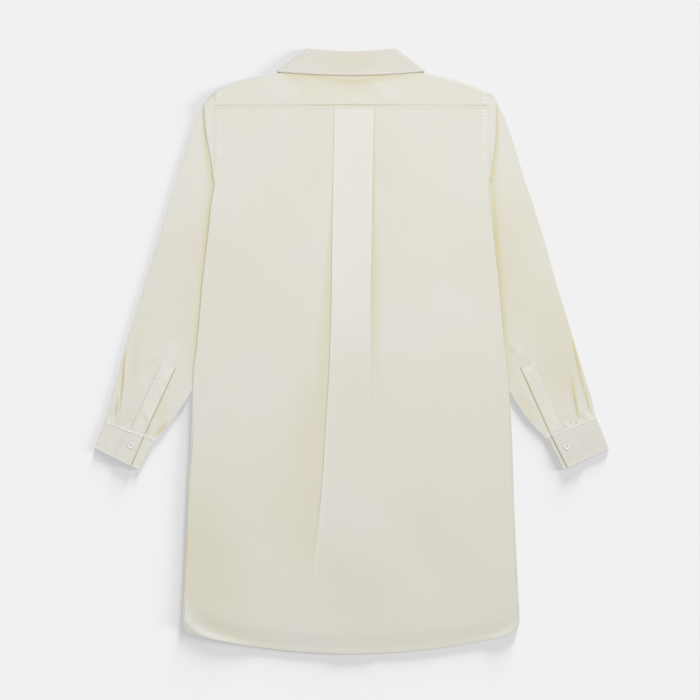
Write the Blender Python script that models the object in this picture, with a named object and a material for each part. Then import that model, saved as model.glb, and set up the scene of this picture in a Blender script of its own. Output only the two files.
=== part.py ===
"""Long-sleeved nightshirt, laid flat on its front with its back uppermost.

Heights along the garment run on Y towards the collar, widths on X, and Z is up
from the surface it lies on. Sizes and tables are in millimetres.
"""

import math

import bmesh
import bpy
import numpy as np

MM = 0.001

# Cloth and the gap kept between pieces
WALL = 1.0
COLLAR_WALL = 1.2
CUFF_WALL = 1.2
GAP = 0.3
TOUCH = 0.05

# Middle of each cloth layer above the surface
UNDER_LEVEL = 0.5
SLEEVE_LEVEL = UNDER_LEVEL + WALL + GAP
BACK_LEVEL = 4.4
COLLAR_FRONT_LEVEL = 0.6
COLLAR_BACK_LEVEL = 5.8
CUFF_LEVELS = {"under": 0.6, "underlap": 2.1, "overlap": 3.6}

# What lifts the fronts off the surface
SLEEVE_LIFT = 2.6
COLLAR_LIFT = 1.5
BUTTON_LIFT = 1.9
LAP_LIFT = 1.3
LAP_REACH = 46.0

# Body
YOKE_SEAM_Y = 392.2
HEM_DROP = 31.0
HEM_BEND_START = -200.0
HEM_FALL = 40.0
SIDE_ROLL = 3.0
FRONT_INSET = 2.3
FRONT_HEM_SHORTER = 3.0
FRONT_LAP = 15.0

# Box pleat down the middle of the back
PLEAT_RISE = 2.6
PLEAT_BASE_LIFT = 0.6
PLEAT_BASE_REACH = (40.0, 95.0)
ARC_STEPS = 3
LEAST_RAMP = 3.5

# Neck
NECK_HALF = 78.0
NECK_BACK_Y = 433.0
NECK_BACK_RISE = 27.0
NECK_FRONT_Y = 366.0
NECK_FRONT_BEND = (72.0, 392.0)
FOLD_SIDE = (69.6, 485.0)
FOLD_FRONT = (3.0, 396.0)
FOLD_FRONT_BEND = (62.0, 425.0)
FOLD_BACK_DIP = 5.6
EDGE_SIDE = {"left": (121.6, 447.4), "right": (117.4, 448.0)}
EDGE_BACK_Y = 440.4
COLLAR_POINT = (52.0, 348.0)
COLLAR_AXIS_Z = 3.2
COLLAR_SIDE_INSET = 3.0
SIDE_OUTWARD = (0.85, 0.53)

# Buttons
BUTTON_RADIUS = 5.2
BUTTON_THICK = 1.6
BUTTON_HOLE_RADIUS = 0.65
BUTTON_HOLE_SPREAD = 1.35
FRONT_BUTTON_TOP = 352.0
FRONT_BUTTON_STEP = 90.0
FRONT_BUTTON_COUNT = 8

PLACKET_WIDTH = 24.0
PLACKET_LENGTH = 118.0


def table(columns, *rows):
    """Named columns of a short table, one row for each section."""
    return {name: np.array(column) for name, column in zip(columns.split(), zip(*rows))}


# Side edge of the body from the yoke seam to the rounded hem corner
SIDE_EDGE = table(
    "y left right",
    (416.0, 220.0, 219.5),
    (268.0, 220.0, 219.5),
    (257.0, 222.4, 219.8),
    (233.0, 226.4, 221.6),
    (209.0, 228.8, 224.4),
    (161.0, 234.4, 229.8),
    (113.0, 240.0, 235.2),
    (65.0, 244.0, 239.4),
    (17.0, 248.2, 243.6),
    (-31.0, 254.2, 249.6),
    (-79.0, 256.4, 253.0),
    (-143.0, 259.2, 257.0),
    (-239.0, 264.0, 260.0),
    (-335.0, 268.0, 264.2),
    (-399.0, 271.0, 267.4),
    (-431.0, 272.0, 268.8),
    (-441.0, 270.6, 266.6),
    (-449.0, 264.8, 260.4),
    (-455.0, 254.0, 249.0),
)

# Shoulder edge, dipping a little where the collar covers it
SHOULDER_EDGE = table(
    "x left right",
    (78.0, 456.5, 456.5),
    (84.0, 455.0, 455.0),
    (110.0, 446.8, 446.4),
    (124.0, 444.2, 443.4),
    (142.4, 441.0, 439.0),
    (172.8, 433.0, 430.6),
    (196.8, 425.0, 422.4),
    (220.0, 415.5, 413.0),
)

# Box pleat: fold edges, cloth tucked behind each edge (minus is a spread ramp), face height
BOX_PLEAT = table(
    "y left right tuck_left tuck_right rise",
    (392.0, 28.8, 35.2, 29.0, 29.0, 1.0),
    (257.0, 31.0, 33.0, 25.0, 23.0, 1.0),
    (145.0, 32.8, 31.5, 21.0, 17.0, 1.0),
    (81.0, 33.6, 30.6, 18.0, 12.0, 1.0),
    (-31.0, 37.0, 31.5, 14.0, 2.5, 1.0),
    (-55.0, 38.5, 32.0, 13.0, 0.5, 1.0),
    (-79.0, 40.0, 33.0, 12.0, -3.5, 1.0),
    (-143.0, 44.0, 36.0, 8.0, -18.0, 1.0),
    (-207.0, 48.0, 40.0, 3.0, -30.0, 1.0),
    (-271.0, 53.5, 46.0, -3.0, -44.0, 0.9),
    (-335.0, 59.2, 54.0, -18.0, -60.0, 0.65),
    (-399.0, 64.0, 62.0, -42.0, -80.0, 0.4),
    (-455.0, 68.0, 70.0, -70.0, -90.0, 0.12),
)

# Sleeve sections from the shoulder to the wrist: outer fold, inner edge, crease at the armhole
SLEEVE = table(
    "outer_y left right inner_y inner_left inner_right crease_left crease_right tuck",
    (409.8, 227.4, 226.2, 412.0, 220.3, 219.8, 222.1, 221.6, -3.5),
    (405.0, 231.0, 229.0, 404.0, 220.3, 219.8, 226.0, 224.6, -3.5),
    (398.0, 235.6, 232.4, 396.0, 220.3, 219.8, 235.2, 231.0, 1.0),
    (391.0, 239.4, 236.0, 388.0, 220.3, 219.8, 237.8, 231.0, 1.6),
    (382.0, 243.8, 240.4, 377.0, 220.3, 219.8, 237.4, 231.0, 5.0),
    (369.0, 249.6, 246.4, 363.0, 220.3, 219.8, 236.4, 230.8, 7.0),
    (353.0, 256.0, 251.8, 346.0, 220.3, 219.8, 234.3, 230.4, 8.0),
    (337.0, 261.0, 257.6, 328.0, 220.3, 219.8, 231.0, 229.2, 6.0),
    (320.0, 266.8, 262.8, 309.0, 220.3, 219.8, 227.3, 226.6, 3.0),
    (305.0, 272.0, 267.4, 292.0, 220.3, 219.8, 224.6, 224.0, 1.0),
    (290.0, 276.6, 271.8, 279.0, 220.3, 219.8, 223.6, 223.1, -3.5),
    (280.0, 279.6, 275.0, 268.0, 220.3, 219.8, 0.0, 0.0, 0.0),
    (265.0, 284.0, 280.0, 251.0, 214.0, 212.0, 0.0, 0.0, 0.0),
    (245.0, 290.0, 286.8, 222.0, 200.0, 198.0, 0.0, 0.0, 0.0),
    (185.0, 308.0, 306.0, 148.0, 182.4, 180.0, 0.0, 0.0, 0.0),
    (111.0, 330.4, 327.0, 81.0, 182.4, 180.0, 0.0, 0.0, 0.0),
    (57.0, 348.0, 343.5, 20.0, 201.6, 199.0, 0.0, 0.0, 0.0),
    (6.0, 363.4, 358.8, -34.0, 243.2, 240.0, 0.0, 0.0, 0.0),
    (-39.0, 375.6, 372.4, -84.0, 273.6, 268.6, 0.0, 0.0, 0.0),
    (-80.0, 387.4, 385.0, -116.0, 297.0, 291.6, 0.0, 0.0, 0.0),
)

# How far in the sleeve lies beneath the body, which is lifted over it
SLEEVE_COVER = table(
    "y inner",
    (300.0, 203.0),
    (257.0, 203.0),
    (233.0, 194.0),
    (177.0, 177.0),
    (113.0, 170.0),
    (65.0, 168.0),
    (17.0, 178.0),
    (-18.0, 200.0),
    (-58.0, 232.0),
    (-90.0, 264.0),
    (-130.0, 310.0),
)
COVER_SLOPE = 25.0

# Soft lengthwise ridges where the sleeve is pleated into its cuff
SLEEVE_RIDGE = {"left": ((0.26, 1.2),), "right": ((0.20, 1.2), (0.42, 1.0))}
RIDGE_START_Y = 30.0
RIDGE_REACH = 0.07

# Cuff corners as the cuff lies, and how far across it the lapped edge is
CUFF = {
    "left": {
        "outer": ((396.0, -111.8), (412.4, -156.2)),
        "inner": ((314.4, -140.6), (341.9, -191.4)),
        "lap": (0.78, 0.825),
    },
    "right": {
        "outer": ((390.4, -104.8), (411.9, -157.6)),
        "inner": ((312.0, -137.0), (338.4, -191.0)),
        "lap": (0.92, 0.91),
    },
}
UNDERLAP_REACH = 24.0
LAP_SLOPE = 12.0
CUFF_BUTTON = {"left": (354.0, -151.6), "right": (344.4, -153.4)}

COLORS = {"cloth": (0.76, 0.73, 0.62), "button": (0.86, 0.84, 0.78)}
SIDES = {"left": -1.0, "right": 1.0}


def smooth(t):
    """Step from 0 to 1 with soft ends."""
    t = min(max(t, 0.0), 1.0)
    return t * t * (3.0 - 2.0 * t)


def read(rows, column, at, key="y"):
    """Value of a table's column at a height, on a smooth curve that never overshoots."""
    xs = rows[key]
    ys = rows[column]
    if xs[0] > xs[-1]:
        xs = xs[::-1]
        ys = ys[::-1]
    if at <= xs[0]:
        return float(ys[0])
    if at >= xs[-1]:
        return float(ys[-1])
    slopes = np.diff(ys) / np.diff(xs)
    i = int(np.searchsorted(xs, at)) - 1
    i = max(i, 0)

    def tangent(k):
        if k == 0 or k == len(xs) - 1:
            return slopes[0] if k == 0 else slopes[-1]
        before, after = slopes[k - 1], slopes[k]
        if before * after <= 0.0:
            return 0.0
        return 2.0 * before * after / (before + after)

    span = xs[i + 1] - xs[i]
    t = (at - xs[i]) / span
    h = (2 * t**3 - 3 * t**2 + 1, t**3 - 2 * t**2 + t, -2 * t**3 + 3 * t**2, t**3 - t**2)
    return float(h[0] * ys[i] + h[1] * span * tangent(i) + h[2] * ys[i + 1] + h[3] * span * tangent(i + 1))


def unit(vectors):
    """Vectors of length one."""
    return vectors / np.maximum(np.linalg.norm(vectors, axis=-1, keepdims=True), 1e-12)


def bend(start, control, end, t):
    """Point on a quadratic curve."""
    a, b, c = (np.array(p, dtype=float) for p in (start, control, end))
    return (1 - t) ** 2 * a + 2 * t * (1 - t) * b + t**2 * c


# Solids


def sheet_normals(points):
    """Unit normals of a grid of points, halving the angle at each fold."""

    def tangents(grid):
        steps = unit(np.diff(grid, axis=0))
        return unit(np.concatenate([steps[:1], steps[:-1] + steps[1:], steps[-1:]]))

    along = tangents(points)
    across = tangents(points.transpose(1, 0, 2)).transpose(1, 0, 2)
    return unit(np.cross(along, across))


def cloth_material(slot):
    """Principled material for a slot, made once."""
    if slot in bpy.data.materials:
        return bpy.data.materials[slot]
    material = bpy.data.materials.new(slot)
    material.use_nodes = True
    shader = material.node_tree.nodes["Principled BSDF"]
    shader.inputs["Base Color"].default_value = (*COLORS[slot], 1.0)
    shader.inputs["Roughness"].default_value = 0.25 if slot == "button" else 0.55
    shader.inputs["Metallic"].default_value = 0.0
    return material


def add_object(name, mesh, slot):
    """Link a mesh as a named object with its material."""
    if not mesh.materials:
        mesh.materials.append(cloth_material(slot))
    obj = bpy.data.objects.new(name, mesh)
    bpy.context.collection.objects.link(obj)
    return obj


def cloth_solid(name, points, wall, slot="cloth"):
    """Closed wall whose middle runs through a grid of points given in millimetres."""
    points = np.array(points, dtype=float)
    offset = sheet_normals(points) * wall / 2.0
    rows, cols = points.shape[:2]
    outer = (points + offset).reshape(-1, 3)
    inner = (points - offset).reshape(-1, 3)
    count = rows * cols
    mesh_points = np.concatenate([outer, inner]) * MM

    def at(r, c, layer):
        return layer * count + r * cols + c

    faces = []
    for r in range(rows - 1):
        for c in range(cols - 1):
            faces.append((at(r, c, 0), at(r + 1, c, 0), at(r + 1, c + 1, 0), at(r, c + 1, 0)))
            faces.append((at(r, c, 1), at(r, c + 1, 1), at(r + 1, c + 1, 1), at(r + 1, c, 1)))
    for r in range(rows - 1):
        faces.append((at(r, 0, 0), at(r, 0, 1), at(r + 1, 0, 1), at(r + 1, 0, 0)))
        last = cols - 1
        faces.append((at(r, last, 0), at(r + 1, last, 0), at(r + 1, last, 1), at(r, last, 1)))
    for c in range(cols - 1):
        faces.append((at(0, c, 0), at(0, c + 1, 0), at(0, c + 1, 1), at(0, c, 1)))
        last = rows - 1
        faces.append((at(last, c, 0), at(last, c, 1), at(last, c + 1, 1), at(last, c + 1, 0)))
    mesh = bpy.data.meshes.new(name)
    mesh.from_pydata(mesh_points.tolist(), [], faces)
    work = bmesh.new()
    work.from_mesh(mesh)
    bmesh.ops.triangulate(work, faces=work.faces[:])
    if work.calc_volume(signed=True) < 0.0:
        bmesh.ops.reverse_faces(work, faces=work.faces[:])
    work.to_mesh(mesh)
    work.free()
    mesh.shade_smooth()
    mesh.set_sharp_from_angle(angle=math.radians(40.0))
    return add_object(name, mesh, slot)


# Shapes that several pieces share


def side_x(side, y):
    """Distance of the body's side edge from the centre line."""
    return read(SIDE_EDGE, side, y)


def row_y(side_y, x, half):
    """Height of a row across the body, bent downwards as it nears the curved hem."""
    span = HEM_BEND_START - float(SIDE_EDGE["y"][-1])
    depth = max(HEM_BEND_START - side_y, 0.0) / span
    return side_y - HEM_DROP * depth**1.5 * (1.0 - min(abs(x) / half, 1.0) ** 2)


def hem_y(x):
    """Height of the hem at a distance from the centre line."""
    last = float(SIDE_EDGE["y"][-1])
    half = float(SIDE_EDGE["left"][-1])
    return row_y(last, x, half)


def front_lift(x, y):
    """Height of the fronts' underside above the surface."""
    cover = smooth((abs(x) - read(SLEEVE_COVER, "inner", y) + COVER_SLOPE) / COVER_SLOPE)
    sleeve = SLEEVE_LIFT * cover * smooth((304.0 - y) / 34.0)
    ridge = BUTTON_LIFT * (1.0 - smooth((abs(x) - FRONT_LAP - 1.0) / LAP_REACH))
    ridge *= smooth((y + 420.0) / 60.0)
    collar = COLLAR_LIFT * (1.0 - smooth((abs(x) - 124.0) / 22.0)) * smooth((y - 318.0) / 24.0)
    return max(sleeve, ridge, collar)


def back_level(x, y):
    """Middle of the back's cloth: over the layers beneath, and down to the front at the hem."""
    near, far = PLEAT_BASE_REACH
    level = BACK_LEVEL + PLEAT_BASE_LIFT * (1.0 - smooth((abs(x) - near) / (far - near)))
    above_hem = smooth((y - hem_y(x)) / HEM_FALL)
    at_hem = SLEEVE_LEVEL + LAP_LIFT * (1.0 - smooth((abs(x) - FRONT_LAP - 3.0) / LAP_REACH))
    return at_hem + (level - at_hem) * above_hem


def rolled_edge(edge, top, end, amount):
    """Distance and level of points from the seam end, up and round onto the top.

    With no amount the points lie flat, as at a seam that joins another piece.
    """
    radius = min(SIDE_ROLL, 0.8 * (top - end))
    points = []
    for i in range(ARC_STEPS + 2):
        flat = (edge - 0.5 * i - (0.5 * amount), top)
        if i == 0:
            rolled = (edge - WALL / 2, end)
        else:
            angle = math.pi / 2 * (i - 1) / ARC_STEPS
            rolled = (
                edge - WALL / 2 - radius * (1.0 - math.cos(angle)),
                top - radius * (1.0 - math.sin(angle)),
            )
        points.append(tuple(r * amount + f * (1.0 - amount) for r, f in zip(rolled, flat)))
    return points


def fold_path(edge, top, base, tuck):
    """Middle line of a fold, outwards over its edge and down to the cloth below.

    The cloth turns back under the edge by the tuck. A negative tuck opens the
    fold into a ramp of that width.
    """
    rise = top - base
    if tuck < 0.0:
        run = max(-tuck, LEAST_RAMP)
        start = edge - WALL / 2 - 0.3 * run
        steps = 2 * ARC_STEPS + 1
        shares = [i / steps for i in range(steps + 1)]
        return [(start + run * t, top - rise * smooth(t)) for t in shares]
    radius = rise / 4.0
    angles = [math.pi * i / ARC_STEPS for i in range(ARC_STEPS + 1)]
    upper = edge - radius - WALL / 2
    lower = upper - max(tuck, 0.5)
    points = [(upper + radius * math.sin(a), top - radius * (1.0 - math.cos(a))) for a in angles]
    points += [(lower - radius * math.sin(a), base + radius * (1.0 + math.cos(a))) for a in angles]
    return points


def spread(start, end, count):
    """Points strictly between two values."""
    return [start + (end - start) * (i + 1) / (count + 1) for i in range(count)]


# Back and yoke

BACK_ROWS = (
    YOKE_SEAM_Y - GAP, 350.0, 310.0, 282.0, 268.0, 261.0, 254.0, 233.0, 193.0, 145.0,
    97.0, 49.0, 1.0, -31.0, -54.0, -76.0, -100.0, -143.0, -191.0, -239.0, -287.0, -335.0,
    -375.0, -405.0, -425.0, -437.0, -446.0, -455.0,
)
FLAT_COLUMNS = 5
FACE_COLUMNS = 3


def back_half(side, y):
    """Distance and level of the back from the side seam to the edge of the pleat's face."""
    half = side_x(side, y)
    roll = smooth((264.0 - y) / 7.0) * smooth((y + 449.0) / 22.0)
    fold = read(BOX_PLEAT, side, y)
    tuck = read(BOX_PLEAT, "tuck_" + side, y)
    rise = PLEAT_RISE * read(BOX_PLEAT, "rise", y)
    base = back_level(fold, row_y(y, fold, half))
    end = front_lift(half, y) + TOUCH
    points = rolled_edge(half, back_level(half, y), end, roll)
    pleat = fold_path(fold, base + rise, base, tuck)[::-1]
    if tuck < 0.0:
        pleat = [(x, z - base + back_level(x, row_y(y, x, half))) for x, z in pleat]
    outer = points[-1][0]
    for x in spread(outer, pleat[0][0] if tuck < 0 else fold + 1.0, FLAT_COLUMNS):
        points.append((x, back_level(x, row_y(y, x, half))))
    return points + pleat


def make_back():
    """Back panel with its box pleat, from the yoke seam to the hem."""
    rows = []
    for y in BACK_ROWS:
        left = [(-x, z) for x, z in back_half("left", y)]
        right = back_half("right", y)[::-1]
        half = side_x("left", y)
        (x_start, z_start), (x_end, z_end) = left[-1], right[0]
        base_start, base_end = (back_level(x, row_y(y, x, half)) for x in (x_start, x_end))
        face = []
        for x in spread(x_start, x_end, FACE_COLUMNS):
            t = (x - x_start) / (x_end - x_start)
            above = (z_start - base_start) * (1.0 - t) + (z_end - base_end) * t
            face.append((x, back_level(x, row_y(y, x, half)) + above))
        rows.append([(x, row_y(y, x, half), z) for x, z in left + face + right])
    cloth_solid("back", rows, WALL)


YOKE_COLUMNS = (220.0, 205.0, 180.0, 155.0, 130.0, 115.0, 100.0, 88.0, 84.0, 79.0, 66.0, 50.0, 30.0, 12.0)


def neck_back_y(x):
    """Height of the back neckline."""
    return NECK_BACK_Y + NECK_BACK_RISE * (min(abs(x), NECK_HALF) / NECK_HALF) ** 2.4


def make_yoke():
    """Back yoke from its seam to the shoulder edges and the back neckline."""
    columns = [("left", -x) for x in YOKE_COLUMNS] + [("right", x) for x in reversed(YOKE_COLUMNS)]
    grid = []
    for side, x in columns:
        reach = min(abs(x), side_x(side, YOKE_SEAM_Y))
        top = read(SHOULDER_EDGE, side, reach, key="x")
        roll = smooth((reach - 79.0) / 5.0)
        if reach < 79.5:
            top = min(top, neck_back_y(reach) - 0.5)
        end = front_lift(x, top) + TOUCH
        edge = rolled_edge(top, BACK_LEVEL, end, roll)[::-1]
        heights = [YOKE_SEAM_Y + 0.5 * GAP] + spread(YOKE_SEAM_Y, edge[0][0], 2)
        column = [(y, BACK_LEVEL + pleat_seam_lift(x) * (edge[0][0] - y) / (edge[0][0] - YOKE_SEAM_Y))
                  for y in heights]
        grid.append([(math.copysign(reach, x), y, z) for y, z in column + edge])
    cloth_solid("yoke", grid, WALL)


def pleat_seam_lift(x):
    """Rise of the yoke's lower edge towards the top of the box pleat."""
    near, far = PLEAT_BASE_REACH
    return (PLEAT_BASE_LIFT + 1.0) * (1.0 - smooth((abs(x) - near) / (far - near)))


# Fronts

FRONT_ROWS = (
    -455.0, -446.0, -436.0, -420.0, -385.0, -340.0, -260.0, -180.0, -125.0, -100.0, -75.0,
    -50.0, -20.0, 15.0, 45.0, 80.0, 120.0, 177.0, 228.0, 252.0, 264.0, 272.0, 284.0, 304.0,
    330.0, 355.0, 385.0, 405.0,
)
FRONT_TOP = 412.0
FRONT_COLUMNS = (0.0, 0.06, 0.14, 0.22, 0.3, 0.4, 0.55, 0.68, 0.77, 0.84, 0.9, 0.95, 1.0)
NECK_START_COLUMN = 6


def neck_front(side, t):
    """Point on the front neckline, from beside the neck to the centre and past it."""
    point = bend((NECK_HALF, NECK_BACK_Y + NECK_BACK_RISE), NECK_FRONT_BEND, (0.0, NECK_FRONT_Y), t)
    return np.array([SIDES[side] * point[0], point[1]])


def front_top(side, column):
    """Point on a front's upper edge: along the shoulder, then round the neck and lap."""
    sign = SIDES[side]
    if column <= NECK_START_COLUMN:
        t = column / NECK_START_COLUMN
        x = side_x(side, FRONT_TOP) - 0.3 + t * (86.0 - side_x(side, FRONT_TOP))
        y = read(SHOULDER_EDGE, side, x, key="x") - FRONT_INSET
        return np.array([sign * x, y])
    last = len(FRONT_COLUMNS) - 1
    t = (column - NECK_START_COLUMN) / (last - NECK_START_COLUMN - 1)
    if column == last:
        return np.array([-sign * FRONT_LAP, NECK_FRONT_Y - 0.5])
    t = 0.12 + 0.88 * t
    before, after = neck_front(side, t - 0.01), neck_front(side, t)
    along = unit(after - before)
    outward = np.array([along[1], -along[0]]) * sign
    if outward[1] > 0.0:
        outward = -outward
    return after + outward * 0.6


def make_front(side, name, lap_lift):
    """Front panel that laps past the centre line, lifted over what lies beneath it."""
    sign = SIDES[side]
    top_row = [front_top(side, k) for k in range(len(FRONT_COLUMNS))]
    top_side = top_row[0][1]
    rows = []
    for side_y in FRONT_ROWS + (top_side,):
        half = side_x(side, side_y)
        inset = 0.3 + (FRONT_INSET - 0.3) * smooth((272.0 - side_y) / 8.0)
        if side_y >= 272.0:
            inset = 0.3 * smooth((side_y - 400.0) / 12.0)
        edge = half - inset
        rise = smooth((side_y - 300.0) / (top_side - 300.0))
        turn = smooth((side_y - 60.0) / (top_side - 60.0))
        short = FRONT_HEM_SHORTER * smooth((-340.0 - side_y) / 115.0)
        row = []
        for k, share in enumerate(FRONT_COLUMNS):
            target = top_row[k]
            top_half = side_x(side, target[1])
            top_share = (top_half - 0.3 - sign * target[0]) / (top_half - 0.3 + FRONT_LAP)
            part = share + (top_share - share) * turn
            x = sign * (edge - part * (edge + FRONT_LAP))
            y = row_y(side_y, x, half) + short + rise * (target[1] - top_side)
            lift = front_lift(x, y) + lap_lift * smooth((LAP_REACH + FRONT_LAP - sign * x) / LAP_REACH)
            row.append((x, y, lift + WALL / 2))
        rows.append(row)
    cloth_solid(name, rows, WALL)


# Sleeves and cuffs


def cuff_direction(side):
    """Unit vector along the arm towards the hand."""
    top = np.add(*(np.array(CUFF[side][edge][0]) for edge in ("outer", "inner")))
    bottom = np.add(*(np.array(CUFF[side][edge][1]) for edge in ("outer", "inner")))
    return unit(bottom - top)


def sleeve_section(width, crease, tuck):
    """Distance and level across a sleeve: over the top, round its outer fold and back below."""
    if crease > 0.0:
        fold = fold_path(crease, BACK_LEVEL, SLEEVE_LEVEL, tuck)
        points = [(0.0, BACK_LEVEL), (0.5 * fold[0][0], BACK_LEVEL)] + fold
    else:
        count = 2 * (ARC_STEPS + 1) + 2
        points = [(1.1 * i, SLEEVE_LEVEL) for i in range(count)]
    radius = (SLEEVE_LEVEL - UNDER_LEVEL) / 2.0
    axis = width - WALL / 2 - radius
    for s in spread(points[-1][0], axis, 5):
        points.append((s, SLEEVE_LEVEL))
    for i in range(ARC_STEPS + 1):
        angle = math.pi * i / ARC_STEPS
        points.append((axis + radius * math.sin(angle), UNDER_LEVEL + radius * (1.0 + math.cos(angle))))
    for s in spread(axis, 0.0, 4):
        points.append((s, UNDER_LEVEL))
    points.append((0.0, UNDER_LEVEL))
    return points


def ridge_height(side, share, y):
    """Height of the soft ridges above the cuff, by how far in from the outer fold."""
    grow = smooth((RIDGE_START_Y - y) / 110.0)
    return sum(h * grow * math.exp(-((share - at) / RIDGE_REACH) ** 2) for at, h in SLEEVE_RIDGE[side])


def make_sleeve(side):
    """Sleeve as one sheet, from the back armhole round to the front armhole."""
    sign = SIDES[side]
    rows = []
    stations = []
    for i in range(len(SLEEVE["tuck"])):
        row = {name: float(column[i]) for name, column in SLEEVE.items()}
        outer = np.array([row[side], row["outer_y"]])
        inner = np.array([row["inner_" + side], row["inner_y"]])
        crease = max(row["crease_" + side] - row["inner_" + side], 0.0)
        stations.append((outer, inner, crease, row["tuck"]))
    back_off = -cuff_direction(side) * GAP * 1.5
    stations.append((np.array(CUFF[side]["outer"][0]) + back_off,
                     np.array(CUFF[side]["inner"][0]) + back_off, 0.0, 0.0))
    for outer, inner, crease, tuck in stations:
        width = float(np.linalg.norm(outer - inner))
        direction = (outer - inner) / width
        slant = width / abs(outer[0] - inner[0])
        section = sleeve_section(width, crease * slant, tuck)
        top_count = 2 * (ARC_STEPS + 1) + 7
        row = []
        for k, (s, z) in enumerate(section):
            place = inner + direction * s
            if crease == 0.0 and k < top_count:
                z += ridge_height(side, 1.0 - s / width, place[1])
            row.append((sign * place[0], place[1], z))
        rows.append(row)
    cloth_solid("sleeve_" + side, rows, WALL)


def make_cuff(side):
    """Barrel cuff: one band from its buttonhole end round the wrist to the end beneath it."""
    sign = SIDES[side]
    levels = CUFF_LEVELS
    radius = (levels["underlap"] - levels["under"]) / 2.0
    rows = []
    for t in (0.0, 0.5, 1.0):
        outer = np.array(CUFF[side]["outer"][0]) * (1 - t) + np.array(CUFF[side]["outer"][1]) * t
        inner = np.array(CUFF[side]["inner"][0]) * (1 - t) + np.array(CUFF[side]["inner"][1]) * t
        width = float(np.linalg.norm(outer - inner))
        direction = (inner - outer) / width
        lap = width * (CUFF[side]["lap"][0] * (1 - t) + CUFF[side]["lap"][1] * t)
        lap = min(lap, width - 2.0)
        near, far = radius + CUFF_WALL / 2, width - radius - CUFF_WALL / 2
        drop = lap - UNDERLAP_REACH
        section = [(lap, levels["overlap"]), (lap - 12.0, levels["overlap"]), (drop, levels["overlap"])]
        section += [(drop - LAP_SLOPE / 2, 0.5 * (levels["overlap"] + levels["underlap"])),
                    (drop - LAP_SLOPE, levels["underlap"])]
        section += [(s, levels["underlap"]) for s in spread(drop - LAP_SLOPE, near, 1)]
        for i in range(ARC_STEPS + 1):
            angle = math.pi * i / ARC_STEPS
            section.append((near - radius * math.sin(angle),
                            levels["under"] + radius * (1.0 + math.cos(angle))))
        section += [(s, levels["under"]) for s in spread(near, far, 3)]
        for i in range(ARC_STEPS + 1):
            angle = math.pi * i / ARC_STEPS
            section.append((far + radius * math.sin(angle),
                            levels["under"] + radius * (1.0 - math.cos(angle))))
        section += [(s, levels["underlap"]) for s in spread(far, drop + 2.0, 1)]
        section.append((drop + 2.0, levels["underlap"]))
        places = [(outer + direction * s, z) for s, z in section]
        rows.append([(sign * p[0], p[1], z) for p, z in places])
    cloth_solid("cuff_" + side, rows, CUFF_WALL)


def make_sleeve_placket(side):
    """Square-ended strip that finishes the sleeve's slit, on top of the sleeve."""
    sign = SIDES[side]
    outer = np.array(CUFF[side]["outer"][0])
    inner = np.array(CUFF[side]["inner"][0])
    lap = outer + (inner - outer) * CUFF[side]["lap"][0]
    up = -cuff_direction(side)
    across = unit(outer - inner)
    across = unit(across - up * float(np.dot(across, up)))
    rows = []
    for step in range(6):
        along = GAP * 2.0 + (PLACKET_LENGTH - GAP * 2.0) * step / 5.0
        row = []
        for share in (0.0, 0.5, 1.0):
            place = lap + up * along + across * (share * PLACKET_WIDTH)
            share_in = place_share(side, place)
            level = SLEEVE_LEVEL + WALL + GAP + ridge_height(side, share_in, place[1])
            row.append((sign * place[0], place[1], level))
        rows.append(row)
    cloth_solid("sleeve_placket_" + side, rows, WALL)


def place_share(side, place):
    """How far in from the sleeve's outer fold a point lies, as a share of its width."""
    outer = np.interp(-place[1], -SLEEVE["outer_y"], SLEEVE[side])
    inner = np.interp(-place[1], -SLEEVE["inner_y"], SLEEVE["inner_" + side])
    return float((outer - place[0]) / (outer - inner))


# Collar


def collar_stations():
    """Places round the neck: neckline, fold and outer edge, and how far round each side it is."""
    stations = []

    def front(side, t):
        sign = SIDES[side]
        edge = np.array(EDGE_SIDE[side]) * (1 - t) + np.array(COLLAR_POINT) * t
        fold = bend(FOLD_SIDE, FOLD_FRONT_BEND, FOLD_FRONT, t)
        neck = neck_front("right", t)
        neck[0] = max(neck[0], FOLD_FRONT[0] / 2)
        flip = np.array([sign, 1.0])
        return {"neck": neck * flip, "fold": fold * flip, "edge": edge * flip, "turn": math.pi, "side": side}

    def back(x):
        side = "left" if x < 0 else "right"
        share = abs(x)
        fold = (FOLD_SIDE[0] * x, FOLD_SIDE[1] - FOLD_BACK_DIP * (1.0 - share**1.8))
        corner = EDGE_SIDE[side]
        edge = (corner[0] * x, EDGE_BACK_Y + (corner[1] - EDGE_BACK_Y) * share**2.2)
        neck = (NECK_HALF * x, neck_back_y(NECK_HALF * x))
        return {"neck": np.array(neck), "fold": np.array(fold), "edge": np.array(edge), "turn": 0.0, "side": side}

    for t in (1.0, 0.8, 0.55, 0.3, 0.1):
        stations.append(front("left", t))
    for turn in (1.0, 0.75, 0.5, 0.25):
        stations.append({**back(-1.0), "turn": math.pi * turn})
    for x in (-1.0, -0.82, -0.6, -0.3, 0.0, 0.3, 0.6, 0.82, 1.0):
        stations.append(back(x))
    for turn in (0.25, 0.5, 0.75, 1.0):
        stations.append({**back(1.0), "turn": math.pi * turn})
    for t in (0.1, 0.3, 0.55, 0.8, 1.0):
        stations.append(front("right", t))
    return stations


def radial_place(station, plan, radius):
    """Point at a distance from the middle layer, above it on the back and below it in front."""
    turn = station["turn"]
    outward = np.array([SIDES[station["side"]] * SIDE_OUTWARD[0], SIDE_OUTWARD[1]])
    x, y = plan + outward * (radius * math.sin(turn) - COLLAR_SIDE_INSET * side_share(station))
    return (x, y, COLLAR_AXIS_Z + radius * math.cos(turn))


def side_share(station):
    """One at the collar's side folds and nothing at the centre back and front."""
    share = min(abs(station["fold"][0]) / FOLD_SIDE[0], 1.0)
    return share**4


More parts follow.
